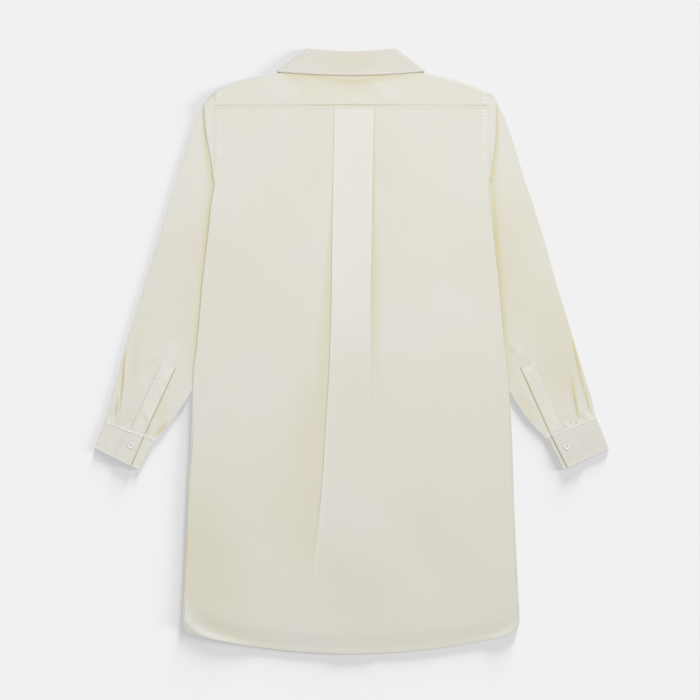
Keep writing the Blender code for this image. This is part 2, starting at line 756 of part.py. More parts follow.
def make_collar():
    """Collar fall, folded over along its top and spread round both sides to the front."""
    rows = []
    layer = (COLLAR_BACK_LEVEL - COLLAR_FRONT_LEVEL) / 2.0
    stand = BACK_LEVEL - COLLAR_AXIS_Z
    bulge = (layer - stand) / 2.0
    middle = (layer + stand) / 2.0
    for station in collar_stations():
        down = unit(station["edge"] - station["fold"])
        width = float(np.linalg.norm(station["edge"] - station["fold"]))
        start = COLLAR_WALL / 2 + bulge
        section = []
        for angle in (90.0, 135.0, 180.0):
            a = math.radians(angle)
            section.append((start - bulge * math.sin(a), middle - bulge * math.cos(a)))
        section += [(s, layer) for s in spread(start, width, 2)]
        section.append((width, layer))
        rows.append([radial_place(station, station["fold"] + down * s, r) for s, r in section])
    cloth_solid("collar", rows, COLLAR_WALL)


def make_collar_stand():
    """Band from the neckline up to the collar's fold."""
    rows = []
    stand = BACK_LEVEL - COLLAR_AXIS_Z
    clear = COLLAR_WALL + 2.0 * GAP
    for station in collar_stations():
        down = unit(station["edge"] - station["fold"])
        top = station["fold"] + down * clear
        neck = station["neck"]
        row = []
        for share in (0.0, 0.5, 1.0):
            row.append(radial_place(station, top + (neck - top) * share, stand))
        rows.append(row)
    cloth_solid("collar_stand", rows, WALL)


# Buttons


def button_mesh():
    """Four-hole shirt button, resting on z = 0, with a raised rim."""
    base = bpy.data.meshes.new("button_blank")
    work = bmesh.new()
    profile = ((0.0, 0.0), (0.82, 0.0), (1.0, 0.3), (1.0, 0.75), (0.84, 1.0), (0.62, 0.72), (0.0, 0.72))
    sides = 12
    rings = []
    for radius, height in profile[1:-1]:
        ring = []
        for i in range(sides):
            a = 2.0 * math.pi * i / sides
            r = radius * BUTTON_RADIUS * MM
            ring.append(work.verts.new((r * math.cos(a), r * math.sin(a), height * BUTTON_THICK * MM)))
        rings.append(ring)
    for lower, upper in zip(rings, rings[1:]):
        for i in range(sides):
            j = (i + 1) % sides
            work.faces.new((lower[i], lower[j], upper[j], upper[i]))
    work.faces.new(rings[0][::-1])
    work.faces.new(rings[-1])
    work.to_mesh(base)
    work.free()
    blank = bpy.data.objects.new("button_blank", base)
    bpy.context.collection.objects.link(blank)

    cut = bmesh.new()
    for i in range(4):
        a = math.pi / 4 + math.pi / 2 * i
        made = bmesh.ops.create_cone(
            cut, cap_ends=True, segments=5, radius1=BUTTON_HOLE_RADIUS * MM,
            radius2=BUTTON_HOLE_RADIUS * MM, depth=3.0 * BUTTON_THICK * MM,
        )
        reach = BUTTON_HOLE_SPREAD * MM
        bmesh.ops.translate(cut, verts=made["verts"], vec=(reach * math.cos(a), reach * math.sin(a), 0.0))
    cut_mesh = bpy.data.meshes.new("button_cutter")
    cut.to_mesh(cut_mesh)
    cut.free()
    cutter = bpy.data.objects.new("button_cutter", cut_mesh)
    bpy.context.collection.objects.link(cutter)
    boolean = blank.modifiers.new("holes", "BOOLEAN")
    boolean.operation = "DIFFERENCE"
    boolean.solver = "EXACT"
    boolean.object = cutter
    depsgraph = bpy.context.evaluated_depsgraph_get()
    mesh = bpy.data.meshes.new_from_object(blank.evaluated_get(depsgraph))
    bpy.data.objects.remove(blank)
    bpy.data.objects.remove(cutter)
    mesh.name = "button"
    mesh.materials.clear()
    mesh.materials.append(cloth_material("button"))
    mesh.shade_smooth()
    mesh.set_sharp_from_angle(angle=math.radians(35.0))
    return mesh


def make_buttons():
    """Buttons down the front, face to the surface, and one on each cuff."""
    mesh = button_mesh()
    for number in range(FRONT_BUTTON_COUNT):
        y = FRONT_BUTTON_TOP - FRONT_BUTTON_STEP * number
        button = add_object(f"front_button_{number + 1}", mesh, "button")
        button.location = (0.0, y * MM, BUTTON_THICK * MM)
        button.rotation_euler = (math.pi, 0.0, 0.0)
    for side, sign in SIDES.items():
        x, y = CUFF_BUTTON[side]
        button = add_object("cuff_button_" + side, mesh, "button")
        level = CUFF_LEVELS["overlap"] + CUFF_WALL / 2 + GAP
        button.location = (sign * x * MM, y * MM, level * MM)
        along = cuff_direction(side)
        button.rotation_euler = (0.0, 0.0, math.atan2(along[1], sign * along[0]))


def main():
    """Clear the scene and make every piece."""
    for obj in list(bpy.data.objects):
        bpy.data.objects.remove(obj)
    make_back()
    make_yoke()
    make_front("right", "front_right", 0.0)
    make_front("left", "front_left", LAP_LIFT)
    for side in SIDES:
        make_sleeve(side)
        make_cuff(side)
        make_sleeve_placket(side)
    make_collar()
    make_collar_stand()
    make_buttons()
    bpy.context.view_layer.update()


main()
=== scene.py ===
import math

import bmesh
import bpy
import numpy as np
from mathutils import Matrix, Vector, noise
from mathutils.bvhtree import BVHTree


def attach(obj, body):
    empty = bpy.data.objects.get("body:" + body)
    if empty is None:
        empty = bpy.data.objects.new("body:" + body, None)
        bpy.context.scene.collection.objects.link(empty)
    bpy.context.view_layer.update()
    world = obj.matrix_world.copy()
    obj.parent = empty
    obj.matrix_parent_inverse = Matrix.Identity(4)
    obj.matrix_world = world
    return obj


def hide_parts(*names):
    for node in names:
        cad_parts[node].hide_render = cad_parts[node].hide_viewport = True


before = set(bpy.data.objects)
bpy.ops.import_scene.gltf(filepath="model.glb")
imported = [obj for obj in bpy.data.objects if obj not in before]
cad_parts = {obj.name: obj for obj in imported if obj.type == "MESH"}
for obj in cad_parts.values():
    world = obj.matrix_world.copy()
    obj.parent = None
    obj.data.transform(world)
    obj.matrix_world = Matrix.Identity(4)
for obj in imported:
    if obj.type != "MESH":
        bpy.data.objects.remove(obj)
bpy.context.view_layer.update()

mm = 0.001
sides = {"left": -1.0, "right": 1.0}

# Camera straight above, as the photograph was taken
cameraPlace = {"x": -0.0032, "y": 0.00104, "height": 3.2, "across": 1.12, "sensor": 36.0, "focus": 0.005}


def makeCamera():
    data = bpy.data.cameras.new("photoCamera")
    data.sensor_width = cameraPlace["sensor"]
    data.lens = cameraPlace["sensor"] * cameraPlace["height"] / cameraPlace["across"]
    data.clip_start = 0.05
    data.clip_end = 30.0
    obj = bpy.data.objects.new("photoCamera", data)
    obj.location = (cameraPlace["x"], cameraPlace["y"], cameraPlace["height"] + cameraPlace["focus"])
    bpy.context.collection.objects.link(obj)
    bpy.context.scene.camera = obj


makeCamera()

# Heights and thicknesses are in millimetres, as all the tables are
cloth = {
    "thick": 0.3,       # the satin itself
    "wall": 1.0,        # wall that the plain model gives it
    "arc": 5,           # steps round a pressed fold
    "gap": 0.3,
    "under": 0.5,       # middle of each layer above the floor
    "sleeve": 1.8,
    "back": 4.4,
}


def table(columns, *rows):
    return {name: np.array(column, dtype=float) for name, column in zip(columns.split(), zip(*rows))}


def smooth(t):
    t = np.clip(t, 0.0, 1.0)
    return t * t * (3.0 - 2.0 * t)


def tangents(xs, ys):
    # slopes that never overshoot
    slopes = np.diff(ys, axis=0) / np.diff(xs).reshape((-1,) + (1,) * (ys.ndim - 1))
    before, after = slopes[:-1], slopes[1:]
    total = before + after
    middle = np.where(before * after > 0.0, 2.0 * before * after / np.where(total == 0.0, 1.0, total), 0.0)
    return np.concatenate([slopes[:1], middle, slopes[-1:]])


def along(xs, ys, at):
    # smooth curve through the rows of ys, read at the places asked for
    if xs[0] > xs[-1]:
        xs, ys = xs[::-1], ys[::-1]
    at = np.clip(np.asarray(at, dtype=float), xs[0], xs[-1])
    slope = tangents(xs, ys)
    i = np.clip(np.searchsorted(xs, at) - 1, 0, len(xs) - 2)
    span = xs[i + 1] - xs[i]
    t = (at - xs[i]) / span
    extra = (1,) * (ys.ndim - 1)
    span, t = span.reshape(span.shape + extra), t.reshape(t.shape + extra)
    a, b = 2 * t**3 - 3 * t**2 + 1, t**3 - 2 * t**2 + t
    c, d = 3 * t**2 - 2 * t**3, t**3 - t**2
    return a * ys[i] + b * span * slope[i] + c * ys[i + 1] + d * span * slope[i + 1]


def read(rows, column, at, key="y"):
    value = along(rows[key], rows[column], at)
    return value if value.ndim else float(value)


def refine(grid, marks):
    # more rows between the main sections of a piece
    return along(np.arange(len(grid), dtype=float), np.asarray(grid, dtype=float), marks)


def evenMarks(count, steps):
    return np.linspace(0.0, count - 1.0, (count - 1) * steps + 1)


def unit(vectors):
    return vectors / np.maximum(np.linalg.norm(vectors, axis=-1, keepdims=True), 1e-12)


def bend(start, control, end, t):
    a, b, c = (np.array(p, dtype=float) for p in (start, control, end))
    return (1 - t) ** 2 * a + 2 * t * (1 - t) * b + t**2 * c


def spread(start, end, count):
    return [start + (end - start) * (i + 1) / (count + 1) for i in range(count)]


# Soft bands: steps along each, how many widths it reaches, how its tips fade and how sharp a kept side is
softBand = {"steps": 25, "reach": 2.6, "tip": 0.04, "middle": 0.92, "fade": 0.8, "oneSide": 0.35}


def lineField(points, lines):
    # soft bands along curved lines; each has a start, middle and end, a width at both ends, the side it
    # keeps to (minus is left of its way, 0 is both) and how strong it is
    total = np.zeros(len(points))
    shares = np.linspace(0.0, 1.0, softBand["steps"])
    for x0, y0, x1, y1, x2, y2, width0, width1, side, strength in lines:
        middle = (2 * x1 - (x0 + x2) / 2, 2 * y1 - (y0 + y2) / 2)
        line = np.array([bend((x0, y0), middle, (x2, y2), t) for t in shares])
        reach = softBand["reach"] * max(width0, width1)
        low, high = line.min(axis=0) - reach, line.max(axis=0) + reach
        near = np.all((points[:, :2] > low) & (points[:, :2] < high), axis=1)
        if not near.any():
            continue
        place = points[near, :2]
        best, where, turned = np.full(len(place), 1e9), np.zeros(len(place)), np.zeros(len(place))
        for k in range(len(line) - 1):
            step = line[k + 1] - line[k]
            away = place - line[k]
            t = np.clip((away @ step) / (step @ step), 0.0, 1.0)
            gap = np.linalg.norm(away - t[:, None] * step, axis=1)
            closer = gap < best
            best[closer] = gap[closer]
            where[closer] = (k + t[closer]) / (len(line) - 1)
            cross = (step[0] * away[:, 1] - step[1] * away[:, 0]) / np.linalg.norm(step)
            turned[closer] = -cross[closer]
        width = width0 + (width1 - width0) * where
        inward = np.clip(softBand["tip"] + softBand["middle"] * where, 0, 1)
        value = np.exp(-((best / width) ** 2)) * np.sin(math.pi * inward) ** softBand["fade"]
        if side:
            value *= smooth(0.5 + side * turned / (softBand["oneSide"] * width))
        total[near] += strength * value
    return total


def ripple(points, seed, size, height):
    # unevenness of cloth that has been laid out by hand
    places = [Vector((x / size + seed, y / size, seed * 0.7)) for x, y, z in points]
    return np.array([height * noise.noise(place) for place in places])


# How far each stitched row lies from its edge
stitching = {
    "yokeSeam": 3.4, "armhole": {"left": (4.8, 11.2), "right": (4.0, 11.2)}, "armholeEnd": 306.0, "hem": 5.4,
    "collar": (2.2, 6.6), "cuff": 5.0, "placket": 2.0,
}

# Tables of the garment's outline, from the same sizes as the plain model
sideEdge = table(
    "y left right",
    (416.0, 220.0, 219.5), (268.0, 220.0, 219.5), (257.0, 222.4, 219.8), (233.0, 226.4, 221.6),
    (209.0, 228.8, 224.4), (161.0, 234.4, 229.8), (113.0, 240.0, 235.2), (65.0, 244.0, 239.4),
    (17.0, 248.2, 243.6), (-31.0, 254.2, 249.6), (-79.0, 256.4, 253.0), (-143.0, 259.2, 257.0),
    (-239.0, 264.0, 260.0), (-335.0, 268.0, 264.2), (-399.0, 271.0, 267.4), (-431.0, 272.0, 268.8),
    (-441.0, 270.6, 266.6), (-449.0, 264.8, 260.4), (-455.0, 254.0, 249.0),
)
shoulderEdge = table(
    "x left right",
    (78.0, 456.5, 456.5), (84.0, 455.0, 455.0), (110.0, 446.8, 446.4), (124.0, 444.2, 443.4),
    (142.4, 441.0, 439.0), (172.8, 433.0, 430.6), (196.8, 425.0, 422.4), (220.0, 415.5, 413.0),
)
boxPleat = table(
    "y left right tuckLeft tuckRight rise",
    (392.0, 28.8, 35.2, 29.0, 29.0, 1.0), (257.0, 31.0, 33.0, 25.0, 23.0, 1.0),
    (145.0, 32.8, 31.5, 21.0, 17.0, 0.9), (81.0, 33.6, 30.6, 18.0, 12.0, 0.75),
    (-31.0, 37.0, 31.5, 14.0, 2.5, 0.55), (-55.0, 38.5, 32.0, 13.0, 0.5, 0.5),
    (-79.0, 40.0, 33.0, 12.0, -3.5, 0.47), (-143.0, 44.0, 36.0, 8.0, -18.0, 0.45),
    (-207.0, 48.0, 40.0, 3.0, -30.0, 0.43), (-271.0, 53.5, 46.0, -6.0, -44.0, 0.36),
    (-335.0, 59.2, 54.0, -18.0, -60.0, 0.28), (-399.0, 64.0, 62.0, -42.0, -80.0, 0.2),
    (-455.0, 68.0, 70.0, -70.0, -90.0, 0.1),
)
sleeveCover = table(
    "y inner",
    (300.0, 203.0), (257.0, 203.0), (233.0, 194.0), (177.0, 177.0), (113.0, 170.0), (65.0, 168.0),
    (17.0, 178.0), (-18.0, 200.0), (-58.0, 232.0), (-90.0, 264.0), (-130.0, 310.0),
)
body = {
    "yokeSeam": 392.2, "hemDrop": 31.0, "hemBendStart": -200.0, "hemFall": 40.0, "sideRoll": 3.0,
    "pleatBaseLift": 0.6, "pleatReach": (40.0, 95.0), "lapLift": 1.3, "lapReach": 46.0, "lap": 15.0,
    "sleeveLift": 2.6, "collarLift": 1.5, "buttonLift": 1.9, "coverSlope": 25.0, "leastRamp": 3.5,
}


def sideX(side, y):
    return read(sideEdge, side, y)


def rowY(sideY, x, half):
    # rows bend downwards as they near the curved hem
    span = body["hemBendStart"] - float(sideEdge["y"][-1])
    depth = max(body["hemBendStart"] - sideY, 0.0) / span
    return sideY - body["hemDrop"] * depth**1.5 * (1.0 - min(abs(x) / half, 1.0) ** 2)


def hemY(x):
    return rowY(float(sideEdge["y"][-1]), x, float(sideEdge["left"][-1]))


def frontLift(x, y):
    # what lies beneath lifts the fronts: sleeves, buttons and collar
    slope = body["coverSlope"]
    cover = smooth((abs(x) - read(sleeveCover, "inner", y) + slope) / slope)
    sleeve = body["sleeveLift"] * cover * smooth((304.0 - y) / 34.0)
    ridge = body["buttonLift"] * (1.0 - smooth((abs(x) - body["lap"] - 1.0) / body["lapReach"]))
    ridge = ridge * smooth((y + 420.0) / 60.0)
    collar = body["collarLift"] * (1.0 - smooth((abs(x) - 124.0) / 22.0)) * smooth((y - 318.0) / 24.0)
    return float(max(sleeve, ridge, collar))


def backLevel(x, y):
    near, far = body["pleatReach"]
    level = cloth["back"] + body["pleatBaseLift"] * (1.0 - smooth((abs(x) - near) / (far - near)))
    aboveHem = smooth((y - hemY(x)) / body["hemFall"])
    atLap = 1.0 - smooth((abs(x) - body["lap"] - 3.0) / body["lapReach"])
    atHem = cloth["sleeve"] + body["lapLift"] * atLap
    return float(atHem + (level - atHem) * aboveHem)


def rolledEdge(edge, top, end, amount):
    # side fold, from the seam below up and round onto the top
    half = cloth["wall"] / 2
    radius = min(body["sideRoll"], 0.8 * (top - end))
    points = []
    for i in range(cloth["arc"] + 2):
        flat = (edge - 0.35 * i - 0.5 * amount, top)
        if i == 0:
            rolled = (edge - half, end)
        else:
            angle = math.pi / 2 * (i - 1) / cloth["arc"]
            rolled = (edge - half - radius * (1.0 - math.cos(angle)), top - radius * (1.0 - math.sin(angle)))
        points.append(tuple(r * amount + f * (1.0 - amount) for r, f in zip(rolled, flat)))
    return points


def foldPath(edge, top, base, tuck):
    # pressed fold: out over its edge, back beneath it, and out again; minus opens it into a ramp
    rise = top - base
    half = cloth["wall"] / 2
    if tuck < 0.0:
        run = max(-tuck, body["leastRamp"])
        start = edge - half - 0.3 * run
        shares = np.linspace(0.0, 1.0, 2 * cloth["arc"] + 2)
        return [(start + run * t, top - rise * float(smooth(t))) for t in shares]
    radius = rise / 4.0
    angles = [math.pi * i / cloth["arc"] for i in range(cloth["arc"] + 1)]
    upper = edge - radius - half
    lower = upper - max(tuck, 0.5)
    points = [(upper + radius * math.sin(a), top - radius * (1.0 - math.cos(a))) for a in angles]
    return points + [(lower - radius * math.sin(a), base + radius * (1.0 + math.cos(a))) for a in angles]


# Finishes; fold and deep are colours of painted shade, pale of painted highlights, and collar darkens a copy
# of the satin as painted shade
satin = {
    "colour": (0.785, 0.765, 0.685, 1.0), "fold": (0.69, 0.62, 0.33, 1.0), "uneven": (0.765, 0.74, 0.64, 1.0),
    "pale": (0.87, 0.86, 0.81, 1.0), "deep": (0.46, 0.33, 0.10, 1.0), "collar": 0.945,
    "roughness": (0.35, 0.47), "sheen": 0.2, "sheenRoughness": 0.35, "specular": 0.55,
    "thread": 0.00022, "weaveDepth": 0.25, "relief": 0.00006, "patch": 5.0, "patchRange": (0.4, 0.72),
}


def newMaterial(name):
    material = bpy.data.materials.new(name)
    material.use_nodes = True
    nodes, links = material.node_tree.nodes, material.node_tree.links
    return material, nodes, links, nodes["Principled BSDF"]


def setInputs(node, values):
    for socket, value in values.items():
        node.inputs[socket].default_value = value


def addBump(nodes, links, height, shader, distance, strength=1.0):
    bump = nodes.new("ShaderNodeBump")
    setInputs(bump, {"Strength": strength, "Distance": distance})
    links.new(height, bump.inputs["Height"])
    links.new(bump.outputs["Normal"], shader.inputs["Normal"])


def mapRange(nodes, links, source, start, end, key="From"):
    node = nodes.new("ShaderNodeMapRange")
    setInputs(node, {key + " Min": start, key + " Max": end})
    links.new(source, node.inputs["Value"])
    return node.outputs["Result"]


def makeWeaveGroup():
    # long satin floats: fine threads across, broken up by the warp that binds them
    group = bpy.data.node_groups.new("satinWeave", "ShaderNodeTree")
    group.interface.new_socket("Place", in_out="INPUT", socket_type="NodeSocketVector")
    group.interface.new_socket("Thread", in_out="INPUT", socket_type="NodeSocketFloat")
    group.interface.new_socket("Height", in_out="OUTPUT", socket_type="NodeSocketFloat")
    nodes, links = group.nodes, group.links
    start, end = nodes.new("NodeGroupInput"), nodes.new("NodeGroupOutput")
    scale = nodes.new("ShaderNodeVectorMath")
    scale.operation = "DIVIDE"
    join = nodes.new("ShaderNodeCombineXYZ")
    for key in ("X", "Y", "Z"):
        links.new(start.outputs["Thread"], join.inputs[key])
    links.new(start.outputs["Place"], scale.inputs[0])
    links.new(join.outputs[0], scale.inputs[1])
    stretch = nodes.new("ShaderNodeMapping")
    stretch.inputs["Scale"].default_value = (1.0, 0.18, 1.0)
    links.new(scale.outputs[0], stretch.inputs["Vector"])
    floats = nodes.new("ShaderNodeTexNoise")
    floats.inputs["Scale"].default_value = 1.0
    floats.inputs["Detail"].default_value = 1.0
    links.new(stretch.outputs[0], floats.inputs["Vector"])
    waves = nodes.new("ShaderNodeTexWave")
    waves.wave_type = "BANDS"
    waves.bands_direction = "X"
    waves.inputs["Scale"].default_value = 0.31
    waves.inputs["Distortion"].default_value = 0.6
    links.new(scale.outputs[0], waves.inputs["Vector"])
    both = nodes.new("ShaderNodeMath")
    both.operation = "MULTIPLY_ADD"
    both.inputs[1].default_value = 0.6
    links.new(floats.outputs["Fac"], both.inputs[0])
    links.new(waves.outputs["Fac"], both.inputs[2])
    links.new(both.outputs[0], end.inputs["Height"])
    return group


weaveGroup = makeWeaveGroup()


def mixColours(nodes, links, share, first, second):
    mix = nodes.new("ShaderNodeMix")
    mix.data_type = "RGBA"
    links.new(share, mix.inputs["Factor"])
    for value, socket in ((first, mix.inputs["A"]), (second, mix.inputs["B"])):
        if isinstance(value, tuple):
            socket.default_value = value
        else:
            links.new(value, socket)
    return mix.outputs["Result"]


def makeSatin(name, share=1.0):
    material, nodes, links, shader = newMaterial(name)
    setInputs(shader, {
        "Sheen Weight": satin["sheen"], "Sheen Roughness": satin["sheenRoughness"],
        "Specular IOR Level": satin["specular"],
    })
    places = nodes.new("ShaderNodeTexCoord")
    woven = nodes.new("ShaderNodeUVMap")
    woven.uv_map = "clothMap"
    patch = nodes.new("ShaderNodeTexNoise")
    setInputs(patch, {"Scale": satin["patch"], "Detail": 3.0})
    links.new(places.outputs["Object"], patch.inputs["Vector"])
    uneven = mapRange(nodes, links, patch.outputs["Fac"], *satin["patchRange"])
    # this attribute paints light and shade: up to 1 towards the warm fold shade, 1 to 2 towards the deep
    # shade, below 0 towards the pale highlight
    tone = nodes.new("ShaderNodeAttribute")
    tone.attribute_name = "paintedShading"
    even, other = (tuple(share * c for c in satin[key][:3]) + (1.0,) for key in ("colour", "uneven"))
    base = mixColours(nodes, links, uneven, even, other)
    base = mixColours(nodes, links, tone.outputs["Fac"], base, satin["fold"])
    for start, end, key in ((0.0, -1.0, "pale"), (1.0, 2.0, "deep")):
        reach = mapRange(nodes, links, tone.outputs["Fac"], start, end)
        base = mixColours(nodes, links, reach, base, satin[key])
    links.new(base, shader.inputs["Base Color"])
    rough = mapRange(nodes, links, patch.outputs["Fac"], *satin["roughness"], key="To")
    links.new(rough, shader.inputs["Roughness"])
    weave = nodes.new("ShaderNodeGroup")
    weave.node_tree = weaveGroup
    weave.inputs["Thread"].default_value = satin["thread"]
    links.new(woven.outputs["UV"], weave.inputs["Place"])
    addBump(nodes, links, weave.outputs["Height"], shader, satin["relief"], satin["weaveDepth"])
    return material


creamSatin = makeSatin("creamSatin")
# a copy of the same satin a shade darker: painted shade on the collar fall and the right cuff
collarSatin = makeSatin("collarSatin", satin["collar"])

# Making a cloth piece from a grid of places
sheets = {}


def meshOf(name, work, *materials):
    mesh = bpy.data.meshes.new(name)
    work.to_mesh(mesh)
    work.free()
    for material in materials:
        mesh.materials.append(material)
    return mesh


def placed(name, data):
    # a mesh or a light as an object at the origin
    obj = bpy.data.objects.new(name, data)
    bpy.context.collection.objects.link(obj)
    return obj


def thicken(obj, thick, offset):
    wall = obj.modifiers.new("thickness", "SOLIDIFY")
    wall.thickness = thick * mm
    wall.offset = offset


def runOf(grid, axis):
    # how far each place lies along its own row or column
    steps = np.linalg.norm(np.diff(grid, axis=axis), axis=2)
    start = np.zeros_like(np.take(steps, [0], axis=axis))
    return np.concatenate([start, np.cumsum(steps, axis=axis)], axis=axis)


def clothPiece(name, grid, node, flat, restsOn, thick=None, tone=None, finish=None):
    rows, cols = grid.shape[:2]
    work = bmesh.new()
    bmesh.ops.create_grid(work, x_segments=cols - 1, y_segments=rows - 1, size=0.5)
    across, downwards = runOf(grid, 1), runOf(grid, 0)
    across -= across[:, cols // 2][:, None]
    uv = work.loops.layers.uv.new("clothMap")
    # the piece's painted shade and highlights, one value at each corner
    shade = work.verts.layers.float.new("paintedShading")
    places = {}
    for vert in work.verts:
        c = round((vert.co.x + 0.5) * (cols - 1))
        r = round((vert.co.y + 0.5) * (rows - 1))
        places[vert] = (across[r, c] * mm, downwards[r, c] * mm)
        vert.co = Vector(grid[r, c]) * mm
        vert[shade] = 0.0 if tone is None else float(tone[r, c])
    for face in work.faces:
        face.smooth = True
        for loop in face.loops:
            loop[uv].uv = places[loop.vert]
    area = sum(face.calc_area() for face in work.faces)
    obj = placed(name, meshOf(name, work, finish or creamSatin))
    thicken(obj, thick or cloth["thick"], 0.0)
    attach(obj, "root")
    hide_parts(node)
    sheets[name] = {"obj": obj, "flat": flat, "area": area, "restsOn": restsOn, "extra": []}
    share = area / (flat[0] * flat[1])
    print(f"{name}: {rows} by {cols}, {area:.4f} square metres, share of its cut {share:.2f}")
    return obj


def surfaceOf(obj):
    return BVHTree.FromObject(obj, bpy.context.evaluated_depsgraph_get())


def drop(surface, x, y, below=False):
    # the cloth's surface above or below a place in millimetres
    start = Vector((x * mm, y * mm, -0.02 if below else 0.04))
    return surface.ray_cast(start, Vector((0.0, 0.0, 1.0 if below else -1.0)))[0]


# Back panel with its box pleat
backPiece = {
    "rows": (
        391.9, 350.0, 310.0, 282.0, 268.0, 261.0, 254.0, 233.0, 193.0, 145.0, 97.0, 49.0, 1.0, -31.0,
        -54.0, -76.0, -100.0, -143.0, -191.0, -239.0, -287.0, -335.0, -375.0, -405.0, -425.0, -437.0,
        -446.0, -455.0,
    ),
    "pleatRise": 1.35, "edgeLift": 0.05, "seamLift": 0.35, "flat": 34, "face": 12, "steps": 7,
    # facePale and foldPale paint highlights on the pleat's face and along its folds
    "hem": 6.5, "hemRise": 0.15, "facePale": 0.4, "foldPale": {"left": 0.7, "right": 0.0},
    "rollFrom": 264.0, "rollTo": -449.0, "crowding": 1.35,
    "edgeColumns": (2.5, 3.6, 4.4, 5.2, 6.4, 8.0, 9.6, 10.8, 11.6, 12.6, 14.0, 17.0),
    "topMarks": (0.0, 0.015, 0.035, 0.055, 0.07, 0.085, 0.1, 0.13, 0.17, 0.23, 0.32, 0.43, 0.55, 0.7, 0.85),
}
pleatValley = table(
    "y depthLeft wideLeft depthRight wideRight",
    (392.0, 0.0, 6.0, 0.0, 6.0), (330.0, 0.25, 6.0, 0.25, 6.0), (250.0, 0.6, 8.0, 0.6, 8.0),
    (150.0, 1.1, 12.0, 1.0, 12.0), (60.0, 1.5, 18.0, 1.3, 18.0), (-40.0, 1.7, 26.0, 1.1, 24.0),
    (-130.0, 1.7, 34.0, 0.6, 30.0), (-230.0, 1.4, 40.0, 0.2, 34.0), (-330.0, 0.8, 44.0, 0.0, 36.0),
    (-420.0, 0.0, 44.0, 0.0, 36.0),
)
# warm shade outside each pressed fold and the bright line along it
pleatPaintedShading = table(
    "y left wideLeft right wideRight brightLeft brightRight",
    (392.0, 0.2, 2.4, 0.35, 2.4, 0.2, 0.2), (350.0, 0.22, 2.4, 0.55, 2.6, 0.3, 0.3),
    (240.0, 0.3, 3.2, 0.7, 4.0, 0.35, 0.25), (160.0, 0.55, 6.5, 0.55, 7.0, 0.3, 0.15),
    (80.0, 0.5, 13.0, 0.45, 11.0, 0.25, 0.1), (0.0, 0.38, 19.0, 0.3, 12.0, 0.2, 0.0),
    (-40.0, 0.3, 17.0, 0.12, 12.0, 0.2, 0.0), (-80.0, 0.26, 15.0, 0.0, 12.0, 0.2, 0.0),
    (-160.0, 0.16, 20.0, 0.0, 12.0, 0.25, 0.0), (-240.0, 0.12, 24.0, 0.0, 12.0, 0.3, 0.0),
    (-320.0, 0.06, 24.0, 0.0, 12.0, 0.3, 0.0), (-420.0, 0.0, 24.0, 0.0, 12.0, 0.0, 0.0),
)


def backHalf(side, y):
    half = sideX(side, y)
    roll = float(smooth((backPiece["rollFrom"] - y) / 7.0) * smooth((y - backPiece["rollTo"]) / 22.0))
    fold = read(boxPleat, side, y)
    name = side.title()
    tuck = read(boxPleat, "tuck" + name, y)
    rise = backPiece["pleatRise"] * read(boxPleat, "rise", y)
    depth, wide = read(pleatValley, "depth" + name, y), read(pleatValley, "wide" + name, y)

    def level(x):
        sink = depth * math.exp(-((max(x - fold, 0.0) / wide) ** 2)) * float(smooth((x - fold + 30.0) / 24.0))
        return backLevel(x, rowY(y, x, half)) - sink

    base = backLevel(fold, rowY(y, fold, half))
    points = rolledEdge(half, backLevel(half, y), frontLift(half, y) + 0.15, roll)
    pleat = foldPath(fold, base + rise, level(fold), tuck)[::-1]
    if tuck < 0.0:
        top = base + rise
        whole = max(top - level(fold), 0.1)
        pleat = [(x, z + (backLevel(x, rowY(y, x, half)) - base) * (top - z) / whole) for x, z in pleat]
    start = points[-1][0]
    inner = pleat[0][0] if tuck < 0 else fold + 1.0
    places = [half - x for x in backPiece["edgeColumns"]]
    shares = 1.0 - (1.0 - np.linspace(0.0, 1.0, backPiece["flat"] + 2)[1:-1]) ** backPiece["crowding"]
    places += list(places[-1] + (inner - places[-1]) * shares)
    for x in places:
        points.append((min(x, start - 0.1), level(x)))
    return points + pleat


def hemBand(points, line, width, rise):
    # the narrow hem stands a little above the cloth beside it
    best = np.full(len(points), 1e9)
    for a, b in zip(line[:-1], line[1:]):
        step = b - a
        t = np.clip(((points[:, :2] - a) @ step) / (step @ step), 0.0, 1.0)
        best = np.minimum(best, np.linalg.norm(points[:, :2] - a - t[:, None] * step, axis=1))
    return rise * (1.0 - smooth((best - width + 0.8) / 1.6))


def hemLine():
    heights = (-400.0, -420.0, -431.0, -436.0, -441.0, -445.0, -449.0, -452.0, -455.0)
    corner = [(-sideX("left", y), y) for y in heights]
    ends = -float(sideEdge["left"][-1]), float(sideEdge["right"][-1])
    bottom = [(x, hemY(x)) for x in np.linspace(*ends, 60)]
    other = [(sideX("right", y), y) for y in heights[-2::-1]]
    return np.array(corner + bottom[1:-1] + other)


